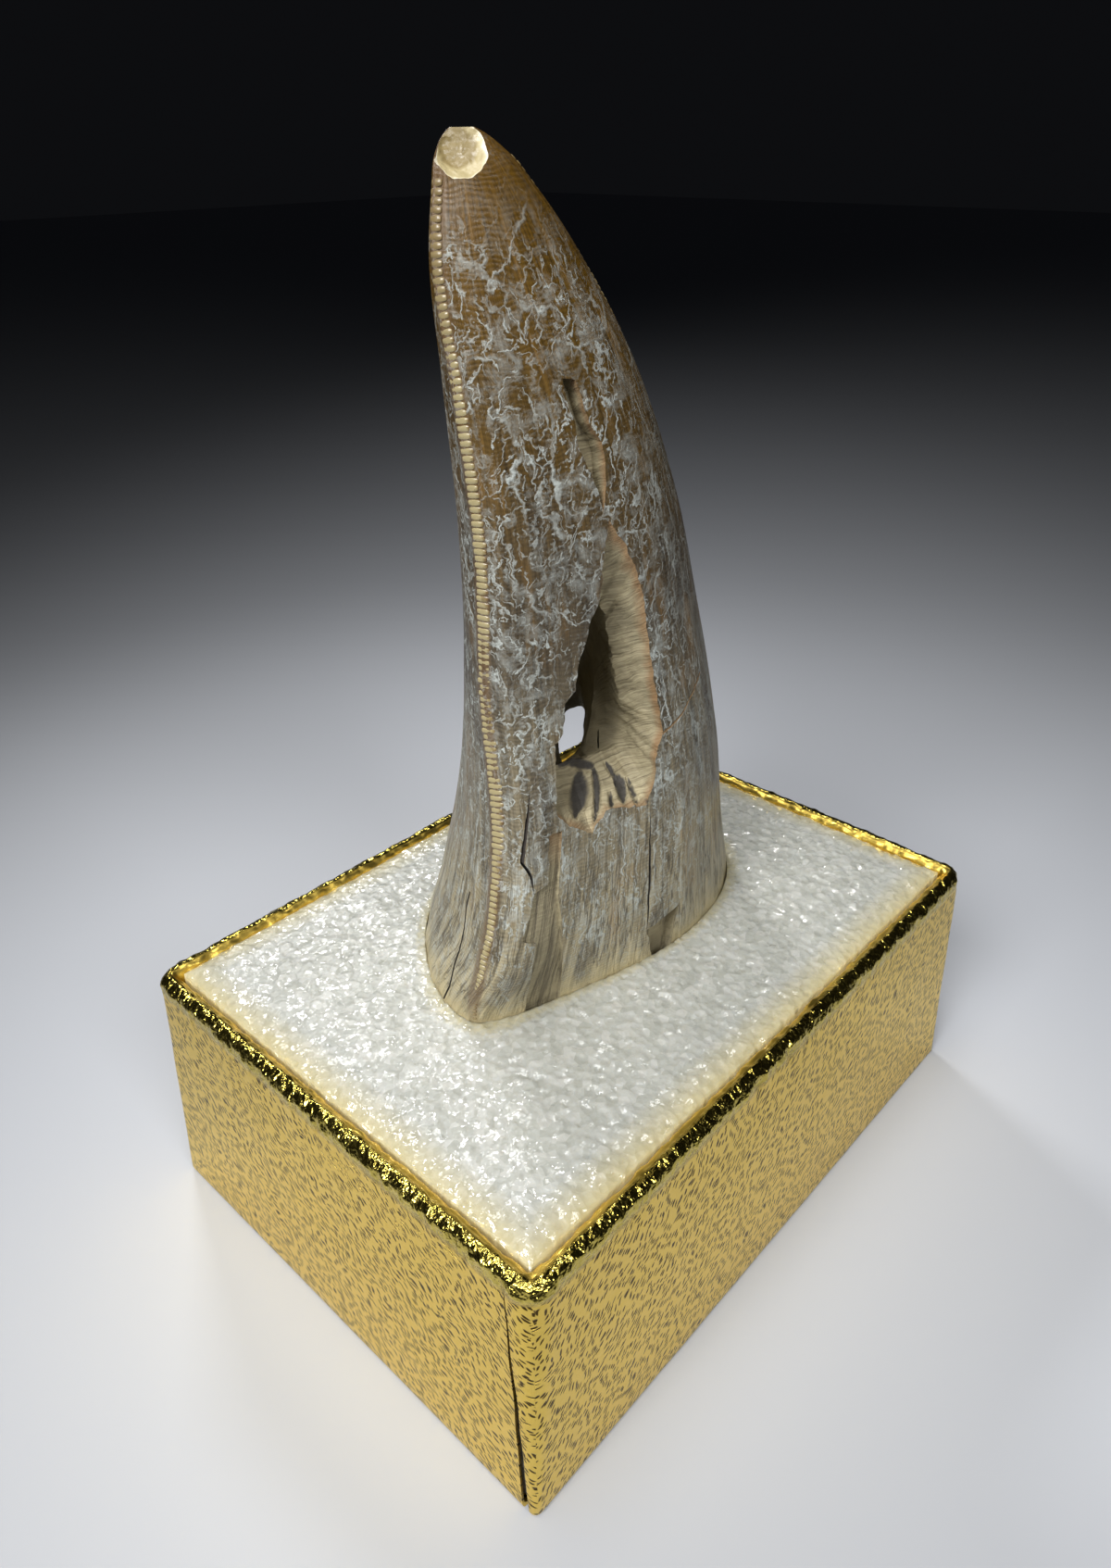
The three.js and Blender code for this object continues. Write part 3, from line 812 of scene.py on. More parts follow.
def foam_height(u, v):
    """Height of the foam's top, with the relief of its cut cells."""
    wall = off_wall(u, v)
    dome = np.clip(wall / DOME_REACH, 0, 1)
    height = FOAM_EDGE + (FOAM_TOP - FOAM_EDGE) * dome * (2 - dome)
    height -= SUNK_DEPTH * np.clip(1 - wall / SUNK_REACH, 0, 1) ** 2
    height += FAR_RISE * np.clip(1 - (FOAM_Y - v) / FAR_REACH, 0, 1)
    flat = np.stack([u, v, 0 * u], -1).reshape(-1, 3)
    height += FOAM_UNEVEN * grain(flat, 7, 61).reshape(u.shape)
    return height + cut_cells(u, v)


def foam_solid():
    """Points and faces of the foam: a grid on top, rings down the sides, a flat foot."""
    columns, rows = round(2 * FOAM_X / FOAM_GRID), round(2 * FOAM_Y / FOAM_GRID)
    x, y = np.linspace(-FOAM_X, FOAM_X, columns), np.linspace(-FOAM_Y, FOAM_Y, rows)
    u, v = np.meshgrid(x, y, indexing="ij")
    top = np.stack([u, v, foam_height(u, v)], -1).reshape(-1, 3)
    index = np.arange(columns * rows).reshape(columns, rows)
    quads = index[:-1, :-1], index[1:, :-1], index[1:, 1:], index[:-1, 1:]
    faces = np.stack(quads, -1).reshape(-1, 4).tolist()
    ring = np.concatenate([index[:, 0], index[-1, 1:], index[-2::-1, -1], index[0, -2:0:-1]])
    points, levels = [top], [ring]
    for k, z in enumerate(FOAM_LEVELS):
        edge = top[ring] * (flare(z), flare(z), 1)
        edge[:, 2] = z
        points.append(edge)
        levels.append(len(top) + k * len(ring) + np.arange(len(ring)))
    for high, low in zip(levels, levels[1:]):
        faces += np.column_stack([low, np.roll(low, -1), np.roll(high, -1), high]).tolist()
    faces.append(levels[-1][::-1].tolist())
    return np.vstack(points), faces


def foam_block(foam):
    """Closed-cell foam cut to fill the tray, with the socket that the tooth stands in."""
    piece = shaped("foam_block", *foam_solid(), foam)
    rings = crown_rings(np.linspace(TOOTH_FOOT - 0.1, 16, 60), 150, SOCKET_GAP)
    socket = in_box(rings.reshape(-1, 3)).reshape(rings.shape)
    boolean(piece, shaped("tool", *loft(socket), foam), "DIFFERENCE")
    points = corners_of(piece.data)
    noted(piece.data, "wall", off_wall(points[:, 0], points[:, 1]))
    m, w = crown_place(in_crown(points) * (1, 1, 0))
    noted(piece.data, "tooth", (np.hypot(m, w) - 1) * 15)
    return piece


def cut_cells(u, v):
    """Relief of the foam's cut cells: each is a small facet with a lean of its own."""
    rng = np.random.default_rng(7)
    reach = 40
    count = round(2 * reach / FOAM_CELL)
    gx, gy = np.meshgrid(np.arange(count), np.arange(count), indexing="ij")
    spots = (np.stack([gx, gy], -1) + rng.uniform(0.1, 0.9, (count, count, 2))) * FOAM_CELL - reach
    lean = rng.normal(0, CELL_LEAN, (count, count, 2))
    lift = rng.normal(0, CELL_LIFT, (count, count))
    i, j = ((u + reach) // FOAM_CELL).astype(int), ((v + reach) // FOAM_CELL).astype(int)
    nearest = np.full(u.shape, 1e9)
    second = np.full(u.shape, 1e9)
    relief = np.zeros(u.shape)
    for di in (-1, 0, 1):
        for dj in (-1, 0, 1):
            a, b = np.clip(i + di, 0, count - 1), np.clip(j + dj, 0, count - 1)
            dx, dy = u - spots[a, b, 0], v - spots[a, b, 1]
            far = np.hypot(dx, dy)
            facet = lift[a, b] + lean[a, b, 0] * dx + lean[a, b, 1] * dy
            closer = far < nearest
            second = np.where(closer, nearest, np.minimum(second, far))
            relief = np.where(closer, facet, relief)
            nearest = np.where(closer, far, nearest)
    seam = 1 - np.clip((second - nearest) / SEAM_WIDTH, 0, 1)
    return relief - SEAM_DEPTH * seam


def add(tree, kind, links=None, out=0, stops=(), **settings):
    """Adds a node with its settings and links, and gives one of its outputs. Inputs go by
    name or number: a map range takes a value, its range from 1 to 2 and what that becomes,
    3 to 4. A mix of colours takes the share of the second, and the colours as 6 and 7."""
    made = tree.nodes.new("ShaderNode" + kind)
    for key, value in settings.items():
        setattr(made, key, value)
    for k, (place, colour) in enumerate(stops):
        ramp = made.color_ramp.elements
        stop = ramp[k] if k < 2 else ramp.new(place)
        stop.position = place
        stop.color = linear(colour) if isinstance(colour, str) else (colour, colour, colour, 1)
    for socket, value in (links or {}).items():
        if isinstance(value, bpy.types.NodeSocket):
            tree.links.new(value, made.inputs[socket])
        else:
            made.inputs[socket].default_value = value
    return made.outputs[out] if made.outputs else made


def blank(name):
    """A material with an empty node tree."""
    material = bpy.data.materials.new(name)
    material.use_nodes = True
    material.node_tree.nodes.clear()
    return material, material.node_tree


def millimetres(tree):
    """The place on the object, in millimetres."""
    metres = add(tree, "TexCoord", out="Object")
    return add(tree, "VectorMath", {0: metres, "Scale": 1 / MM}, operation="SCALE")


def stained_ground(tree, place, crown, rise):
    """The enamel's own colour, with the height and the patches that it follows."""
    # Colour by height, wandering by a few millimetres
    wander = add(tree, "TexNoise", {"Vector": place, "Scale": 0.16, "Detail": 3})
    wander = add(tree, "Math", {0: wander, 1: 0.22, 2: -0.11}, operation="MULTIPLY_ADD")
    height = add(tree, "Math", {0: rise, 1: 1 / TOOTH_TOP, 2: wander}, operation="MULTIPLY_ADD")
    base = add(tree, "ValToRGB", {0: height}, stops=[
        (0.0, "#b9ad8b"), (0.06, "#a99e80"), (0.28, "#7c735e"), (0.5, "#544a3a"),
        (0.68, "#5a482a"), (0.85, "#5c4415"), (1.0, "#64470a"),
    ])
    # Smoky and amber patches drawn out lengthways
    drawn = add(tree, "VectorMath", {0: crown, 1: (0.33, 0.33, 0.12)}, operation="MULTIPLY")
    patch = add(tree, "TexNoise", {"Vector": drawn, "Scale": 1, "Detail": 4, "Roughness": 0.6})
    dark = add(tree, "MapRange", {0: patch, 1: 0.52, 2: 0.7, 3: 0, 4: 0.75})
    under_tip = add(tree, "MapRange", {0: rise, 1: 54, 2: 44, 3: 0.3, 4: 1})
    dark = add(tree, "Math", {0: dark, 1: under_tip}, operation="MULTIPLY")
    base = add(tree, "Mix", {0: dark, 6: base, 7: linear("#423a30")}, 2, data_type="RGBA")
    amber = add(tree, "MapRange", {0: patch, 1: 0.45, 2: 0.3, 3: 0, 4: 0.5})
    base = add(tree, "Mix", {0: amber, 6: base, 7: linear("#80602f")}, 2, data_type="RGBA")
    return base, height, patch


def growth_lines(tree, place, crown, rise, patch):
    """Growth bands and lengthways lines: their tone in all, then each by itself."""
    # Growth bands every third of a millimetre
    bowed = add(tree, "TexNoise", {"Vector": place, "Scale": 0.35, "Detail": 2})
    bowed = add(tree, "Math", {0: bowed, 1: 1.6, 2: rise}, operation="MULTIPLY_ADD")
    band = add(tree, "Math", {0: bowed, 1: 2 * math.pi / 0.34}, operation="MULTIPLY")
    band = add(tree, "Math", {0: band}, operation="SINE")
    # Lengthways lines, about half a millimetre apart
    lines = add(tree, "VectorMath", {0: crown, 1: (2.0, 2.0, 0.09)}, operation="MULTIPLY")
    lines = add(tree, "TexNoise", {"Vector": lines, "Scale": 1, "Detail": 5, "Roughness": 0.7})
    line_tone = add(tree, "MapRange", {0: lines, 1: 0.3, 2: 0.7, 3: 0.5, 4: 1.45})
    faint = add(tree, "MapRange", {0: patch, 1: 0.35, 2: 0.65, 3: 0.05, 4: 0.2})
    banding = add(tree, "Math", {0: band, 1: faint}, operation="MULTIPLY")
    band_tone = add(tree, "Math", {0: banding, 1: line_tone}, operation="ADD")
    return band_tone, banding, lines


def root_tracks(tree, place, bend, upright, etched):
    """Fine strokes on top of what is etched already, each where a random plane through a
    cell's centre meets the surface."""
    # Each set has its distance apart, half width of a stroke and place in the noise
    tracks = ((0.8, 0.07, 0), (1.2, 0.09, 31), (1.7, 0.1, 57), (2.4, 0.12, 83), (2.6, 0.2, 97))
    for size, width, shift in tracks:
        tall = {0: place, 1: (1, 1, 0.65), 2: (shift, shift, -shift)}
        moved = add(tree, "VectorMath", tall, operation="MULTIPLY_ADD")
        bent = {0: bend, 1: (1.8, 1.8, 1.8), 2: moved}
        moved = add(tree, "VectorMath", bent, operation="MULTIPLY_ADD")
        centre = add(tree, "TexVoronoi", {"Vector": moved, "Scale": 1 / size}, out="Position")
        lean = centre.node.outputs["Color"]
        away = add(tree, "VectorMath", {0: moved, 1: centre}, operation="SUBTRACT")
        lean = add(tree, "VectorMath", {0: lean, 1: (0.5, 0.5, 0.5)}, operation="SUBTRACT")
        lean = add(tree, "VectorMath", {0: lean, 1: upright}, operation="MULTIPLY")
        lean = add(tree, "VectorMath", {0: lean}, operation="NORMALIZE")
        far = add(tree, "VectorMath", {0: away, 1: lean}, "Value", operation="DOT_PRODUCT")
        far = add(tree, "Math", {0: far}, operation="ABSOLUTE")
        stroke = add(tree, "MapRange", {0: far, 1: width, 2: width * 0.2})
        zone = add(tree, "TexNoise", {"Vector": moved, "Scale": 0.4, "Detail": 5, "Roughness": 0.65})
        zone = add(tree, "MapRange", {0: zone, 1: 0.4, 2: 0.62})
        stroke = add(tree, "Math", {0: stroke, 1: zone}, operation="MULTIPLY")
        etched = add(tree, "Math", {0: stroke, 1: etched}, operation="MAXIMUM")
    return etched


def etched_enamel(tree, place, crown, rise, film, height):
    """How far the enamel is etched pale: by a cloudy film, root tracks and streaks."""
    etched = add(tree, "MapRange", {0: film, 1: 0.5, 2: 0.68, 3: 0, 4: 0.55})
    # Low down and towards the front edge the tracks run lengthways
    front = add(tree, "SeparateXYZ", {0: crown})
    upright = add(tree, "MapRange", {0: front, 1: -3, 2: 8, 3: 1, 4: 0.2})
    low_down = add(tree, "MapRange", {0: rise, 1: 24, 2: 12, 3: 1, 4: 0.12})
    upright = add(tree, "Math", {0: upright, 1: low_down}, operation="MINIMUM")
    upright = add(tree, "CombineXYZ", {0: 1, 1: 1, 2: upright})
    bend = add(tree, "TexNoise", {"Vector": place, "Scale": 0.9, "Detail": 4}, out="Color")
    bend = add(tree, "VectorMath", {0: bend, 1: (0.5, 0.5, 0.5)}, operation="SUBTRACT")
    etched = root_tracks(tree, place, bend, upright, etched)
    # Long pale streaks near the front edge
    streak = add(tree, "VectorMath", {0: crown, 1: (2.6, 2.6, 0.2)}, operation="MULTIPLY")
    streak = add(tree, "VectorMath", {0: bend, 1: (1.5, 1.5, 0), 2: streak}, operation="MULTIPLY_ADD")
    streak = add(tree, "TexNoise", {"Vector": streak, "Scale": 1, "Detail": 5, "Roughness": 0.7})
    streak = add(tree, "MapRange", {0: streak, 1: 0.56, 2: 0.68, 3: 0, 4: 0.8})
    side = add(tree, "MapRange", {0: front, 1: 3, 2: 8})
    streak = add(tree, "Math", {0: streak, 1: side}, operation="MULTIPLY")
    calm = add(tree, "MapRange", {0: front, 1: 3, 2: 10, 3: 1, 4: 0.5})
    etched = add(tree, "Math", {0: etched, 1: calm}, operation="MULTIPLY")
    etched = add(tree, "Math", {0: streak, 1: etched}, operation="MAXIMUM")
    # Fewer right over the foam and near the tip
    thin = add(tree, "ValToRGB", {0: height}, stops=[
        (0.02, 0.5), (0.1, 0.85), (0.3, 1.0), (0.86, 0.95), (0.94, 0.15)])
    etched = add(tree, "Math", {0: etched, 1: thin}, operation="MULTIPLY")
    return etched


def fossil_enamel():
    """Fossil enamel, worn and stained by minerals: glossy ochre to grey-brown, with fine
    growth bands, lengthways lines and pale matt tracks etched by roots."""
    material, tree = blank("fossil_enamel")
    place = millimetres(tree)
    crown = add(tree, "Attribute", out="Vector", attribute_name="crown")
    own = add(tree, "Attribute", out="Vector", attribute_name="own")
    rise = add(tree, "SeparateXYZ", {0: own}, out=2)
    edge = add(tree, "Attribute", out="Fac", attribute_name="edge")
    base, height, patch = stained_ground(tree, place, crown, rise)
    band_tone, banding, lines = growth_lines(tree, place, crown, rise, patch)
    base = add(tree, "VectorMath", {0: base, "Scale": band_tone}, operation="SCALE")

    # Cloudy pale film, fuzzy at its edges
    film = add(tree, "TexNoise", {
        "Vector": place, "Scale": 0.5, "Detail": 9, "Roughness": 0.72, "Distortion": 0.5})
    etched = etched_enamel(tree, place, crown, rise, film, height)
    colour = add(tree, "Mix", {0: etched, 6: base, 7: linear("#bac0bb")}, 2, data_type="RGBA")
    # Painted shade in the deep wrinkles at the base
    furrow = add(tree, "VectorMath", {0: crown, 1: (1.2, 1.2, 0.1)}, operation="MULTIPLY")
    furrow = add(tree, "TexNoise", {"Vector": furrow, "Scale": 1, "Detail": 4, "Roughness": 0.6})
    furrow = add(tree, "Math", {0: furrow, 1: 0.5}, operation="SUBTRACT")
    furrow = add(tree, "Math", {0: furrow}, operation="ABSOLUTE")
    furrow = add(tree, "MapRange", {0: furrow, 1: 0.025, 2: 0.004})
    old = add(tree, "MapRange", {0: rise, 1: 26, 2: 10, 3: 0.12, 4: 1})
    furrow = add(tree, "Math", {0: furrow, 1: old}, operation="MULTIPLY")
    shade = add(tree, "Math", {0: furrow, 1: 0.7}, operation="MULTIPLY")
    colour = add(tree, "Mix", {0: shade, 6: colour, 7: linear("#40382c")}, 2, data_type="RGBA")

    # Amber between and beside the denticles
    between = add(tree, "MapRange", {0: edge, 1: 0.6, 2: 1.0, 3: 0.7, 4: 0})
    colour = add(tree, "Mix", {0: between, 6: colour, 7: linear("#6b5338")}, 2, data_type="RGBA")
    # Cream-yellow where the foam has rubbed and dusted it
    dust = add(tree, "Math", {0: film, 1: 6, 2: rise}, operation="MULTIPLY_ADD")
    dust = add(tree, "MapRange", {0: dust, 1: 6, 2: 3.2, 3: 0, 4: 0.8})
    colour = add(tree, "Mix", {0: dust, 6: colour, 7: linear("#c2b48c")}, 2, data_type="RGBA")

    # Etched places are rougher, and the lines stand out more towards the base
    rough = add(tree, "MapRange", {0: etched, 3: 0.34, 4: 0.62})
    wrinkled = add(tree, "MapRange", {0: rise, 1: 50, 2: 12, 3: 0.8, 4: 3.5})
    relief = add(tree, "Math", {0: lines, 1: wrinkled, 2: etched}, operation="MULTIPLY_ADD")
    relief = add(tree, "Math", {0: banding, 1: 0.6, 2: relief}, operation="MULTIPLY_ADD")
    relief = add(tree, "Math", {0: furrow, 1: -2, 2: relief}, operation="MULTIPLY_ADD")
    normal = add(tree, "Bump", {"Height": relief, "Strength": 0.5, "Distance": 0.00012})
    surface = add(tree, "BsdfPrincipled", {
        "Base Color": colour, "Roughness": rough, "Normal": normal, "IOR": 1.5})
    add(tree, "OutputMaterial", {"Surface": surface})
    return material


def worn_serration():
    """Denticles of worn enamel: glossy cream mottled with amber, with painted highlight where they
    stand proud and painted shade low on their sides and between them.
    """
    material, tree = blank("worn_serration")
    place = millimetres(tree)
    depth = add(tree, "Attribute", out="Fac", attribute_name="depth")
    # Painted highlight and shade: paler where a denticle stands proud, darker low on its sides and in
    # the gaps, over a cloudy mottling of its own
    cloud = add(tree, "TexNoise", {"Vector": place, "Scale": 0.45, "Detail": 5, "Roughness": 0.7})
    high = add(tree, "Math", {0: cloud, 1: 1.1, 2: depth}, operation="MULTIPLY_ADD")
    colour = add(tree, "ValToRGB", {0: high}, stops=[
        (0.28, "#b0a47c"), (0.38, "#95865e"), (0.5, "#725a38"), (0.62, "#4a3b2b")])
    # Browner where they are less worn, at the tip
    own = add(tree, "Attribute", out="Vector", attribute_name="own")
    tip = add(tree, "SeparateXYZ", {0: own}, out=2)
    tip = add(tree, "MapRange", {0: tip, 1: 52, 2: 61, 3: 0.15, 4: 0.75})
    colour = add(tree, "Mix", {0: tip, 6: colour, 7: linear("#6e5630")}, 2, data_type="RGBA")
    surface = add(tree, "BsdfPrincipled", {
        "Base Color": colour, "Roughness": 0.28, "IOR": 1.6})
    add(tree, "OutputMaterial", {"Surface": surface})
    return material


def broken_dentine():
    """Dentine laid bare by the break: chalky beige, with fine fibres across the wall,
    rust where it meets the enamel, dark mineral down the grooves, and painted shade deep
    in the hollow and in the cracks."""
    material, tree = blank("broken_dentine")
    place = millimetres(tree)
    own = add(tree, "Attribute", out="Vector", attribute_name="own")
    rise = add(tree, "SeparateXYZ", {0: own}, out=2)
    depth = add(tree, "Attribute", out="Fac", attribute_name="depth")
    dark = add(tree, "Attribute", out="Fac", attribute_name="dark")

    # Fibres a quarter of a millimetre apart, bowed as they run inwards
    bowed = add(tree, "TexNoise", {"Vector": place, "Scale": 0.3, "Detail": 2})
    bowed = add(tree, "Math", {0: bowed, 1: 1.4, 2: rise}, operation="MULTIPLY_ADD")
    bowed = add(tree, "Math", {0: depth, 1: 0.5, 2: bowed}, operation="MULTIPLY_ADD")
    along = add(tree, "SeparateXYZ", {0: place}, out=1)
    fibre = add(tree, "Math", {0: bowed, 1: 6.5}, operation="MULTIPLY")
    along = add(tree, "Math", {0: along, 1: 0.35}, operation="MULTIPLY")
    fibre = add(tree, "CombineXYZ", {0: fibre, 1: along})
    fibre = add(tree, "TexNoise", {"Vector": fibre, "Scale": 1, "Detail": 4, "Roughness": 0.65})
    blotch = add(tree, "TexNoise", {"Vector": place, "Scale": 0.5, "Detail": 5, "Roughness": 0.6})
    colour = add(tree, "ValToRGB", {0: fibre}, stops=[
        (0.3, "#6a614c"), (0.44, "#968b6e"), (0.58, "#aca182"), (0.75, "#c4ba99")])
    tone = add(tree, "MapRange", {0: blotch, 1: 0.3, 2: 0.7, 3: 0.75, 4: 1.15})
    colour = add(tree, "VectorMath", {0: colour, "Scale": tone}, operation="SCALE")
    # Weathered grey where the enamel is gone near the foam
    worn = add(tree, "MapRange", {0: rise, 1: 18.5, 2: 15})
    faded = add(tree, "Math", {0: worn, 1: 0.6}, operation="MULTIPLY")
    colour = add(tree, "Mix", {0: faded, 6: colour, 7: linear("#a59b7e")}, 2, data_type="RGBA")
    crown = add(tree, "Attribute", out="Vector", attribute_name="crown")
    split = add(tree, "VectorMath", {0: crown, 1: (1.4, 1.4, 0.1)}, operation="MULTIPLY")
    split = add(tree, "TexNoise", {"Vector": split, "Scale": 1, "Detail": 5, "Roughness": 0.65})
    split = add(tree, "MapRange", {0: split, 1: 0.5, 2: 0.36, 3: 0, 4: 0.75})
    split = add(tree, "Math", {0: split, 1: worn}, operation="MULTIPLY")
    colour = add(tree, "Mix", {0: split, 6: colour, 7: linear("#5e5544")}, 2, data_type="RGBA")
    # Rust-brown skin just under the enamel
    rust = add(tree, "Math", {0: blotch, 1: 1.6, 2: depth}, operation="MULTIPLY_ADD")
    rust = add(tree, "MapRange", {0: rust, 1: 1.7, 2: 0.95, 3: 0, 4: 0.65})
    fresh = add(tree, "Math", {0: 1, 1: worn}, operation="SUBTRACT")
    rust = add(tree, "Math", {0: rust, 1: fresh}, operation="MULTIPLY")
    colour = add(tree, "Mix", {0: rust, 6: colour, 7: linear("#8a6238")}, 2, data_type="RGBA")
    # Painted shade deep in the hollow and in the cracks, and dark mineral down the grooves
    dark = add(tree, "Math", {0: fibre, 1: 0.8, 2: dark}, operation="MULTIPLY_ADD")
    dark = add(tree, "MapRange", {0: dark, 1: 0.75, 2: 1.25, 3: 0, 4: 0.92})
    colour = add(tree, "Mix", {0: dark, 6: colour, 7: linear("#302e2f")}, 2, data_type="RGBA")

    relief = add(tree, "Math", {0: blotch, 1: 0.7, 2: fibre}, operation="MULTIPLY_ADD")
    relief = add(tree, "Math", {0: split, 1: -2, 2: relief}, operation="MULTIPLY_ADD")
    normal = add(tree, "Bump", {"Height": relief, "Strength": 0.7, "Distance": 0.0002})
    surface = add(tree, "BsdfPrincipled", {
        "Base Color": colour, "Roughness": 0.7, "Normal": normal, "IOR": 1.54})
    add(tree, "OutputMaterial", {"Surface": surface})
    return material


def spalled_tip():
    """Enamel flaked off the tip: a smooth waxy cream facet with a paler, ragged edge."""
    material, tree = blank("spalled_tip")
    place = millimetres(tree)
    depth = add(tree, "Attribute", out="Fac", attribute_name="depth")
    cloud = add(tree, "TexNoise", {"Vector": place, "Scale": 1.1, "Detail": 4})
    rim = add(tree, "Math", {0: cloud, 1: 0.8, 2: depth}, operation="MULTIPLY_ADD")
    colour = add(tree, "ValToRGB", {0: rim}, stops=[
        (0.42, "#e6dec6"), (0.6, "#cfc29b"), (0.9, "#b8a97e")])
    # The second flake went deeper, to tan enamel
    own = add(tree, "Attribute", out="Vector", attribute_name="own")
    deeper = add(tree, "VectorMath", {0: own, 1: SECOND_SCAR}, "Value", operation="DISTANCE")
    deeper = add(tree, "Math", {0: cloud, 1: 0.5, 2: deeper}, operation="MULTIPLY_ADD")
    deeper = add(tree, "MapRange", {0: deeper, 1: 1.6, 2: 1.35, 3: 0, 4: 0.85})
    colour = add(tree, "Mix", {0: deeper, 6: colour, 7: linear("#86744a")}, 2, data_type="RGBA")
    normal = add(tree, "Bump", {"Height": cloud, "Strength": 0.4, "Distance": 0.0003})
    surface = add(tree, "BsdfPrincipled", {
        "Base Color": colour, "Roughness": 0.35, "Normal": normal, "IOR": 1.6})
    add(tree, "OutputMaterial", {"Surface": surface})
    return material


def closed_cell_foam():
    """Closed-cell polyethylene foam, cut: milky, with light inside it and wet-looking
    films over cells a little under a millimetre wide."""
    material, tree = blank("closed_cell_foam")
    place = millimetres(tree)
    wall = add(tree, "Attribute", out="Fac", attribute_name="wall")
    cell = add(tree, "TexVoronoi", {"Vector": place, "Scale": 1.3, "Randomness": 1})
    tone = add(tree, "TexVoronoi", {"Vector": place, "Scale": 1.3}, out="Color")
    tone = add(tree, "SeparateXYZ", {0: tone})
    colour = add(tree, "ValToRGB", {0: tone}, stops=[
        (0.0, "#b1b2a9"), (0.5, "#babbb3"), (1.0, "#c6c6bf")])
    # Painted reflection of the gold walls: warm yellow within 3 mm of them
    gold_glow_and_stain = add(tree, "MapRange", {0: wall, 1: 3, 2: 0, 3: 0, 4: 0.7})
    # Crumbs and stain of the tooth round its foot
    foot = add(tree, "Attribute", out="Fac", attribute_name="tooth")
    fine = add(tree, "TexNoise", {"Vector": place, "Scale": 2.5, "Detail": 3})
    foot = add(tree, "Math", {0: fine, 1: 2, 2: foot}, operation="MULTIPLY_ADD")
    foot = add(tree, "MapRange", {0: foot, 1: 2.4, 2: 0.8, 3: 0, 4: 0.75})
    gold_glow_and_stain = add(tree, "Math", {0: gold_glow_and_stain, 1: foot}, operation="MAXIMUM")
    colour = add(tree, "Mix", {0: gold_glow_and_stain, 6: colour, 7: linear("#c9bb85")}, 2, data_type="RGBA")
    # Wet-looking films that lean from cell to cell and glint one by one
    lean = add(tree, "TexVoronoi", {"Vector": place, "Scale": 1.5}, out="Color")
    lean = add(tree, "VectorMath", {0: lean, 1: (0.5, 0.5, 0.5)}, operation="SUBTRACT")
    plain = add(tree, "NewGeometry", out="Normal")
    lean = add(tree, "VectorMath", {0: lean, 1: (0.65, 0.65, 0.65), 2: plain}, operation="MULTIPLY_ADD")
    lean = add(tree, "VectorMath", {0: lean}, operation="NORMALIZE")
    ripple = add(tree, "TexNoise", {"Vector": place, "Scale": 1.8, "Detail": 2})
    film = add(tree, "Bump", {
        "Height": ripple, "Normal": lean, "Strength": 0.5, "Distance": 0.0002})
    relief = add(tree, "Math", {0: fine, 1: 0.6, 2: cell}, operation="MULTIPLY_ADD")
    normal = add(tree, "Bump", {"Height": relief, "Strength": 0.5, "Distance": 0.00015})
    surface = add(tree, "BsdfPrincipled", {
        "Base Color": colour, "Roughness": 0.4, "Normal": normal, "IOR": 1.5,
        "Subsurface Weight": 0.8, "Subsurface Radius": (1, 0.9, 0.75),
        "Subsurface Scale": 0.003, "Coat Weight": 1, "Coat Roughness": 0.05, "Coat IOR": 1.7,
        "Coat Normal": film})
    add(tree, "OutputMaterial", {"Surface": surface})
    return material


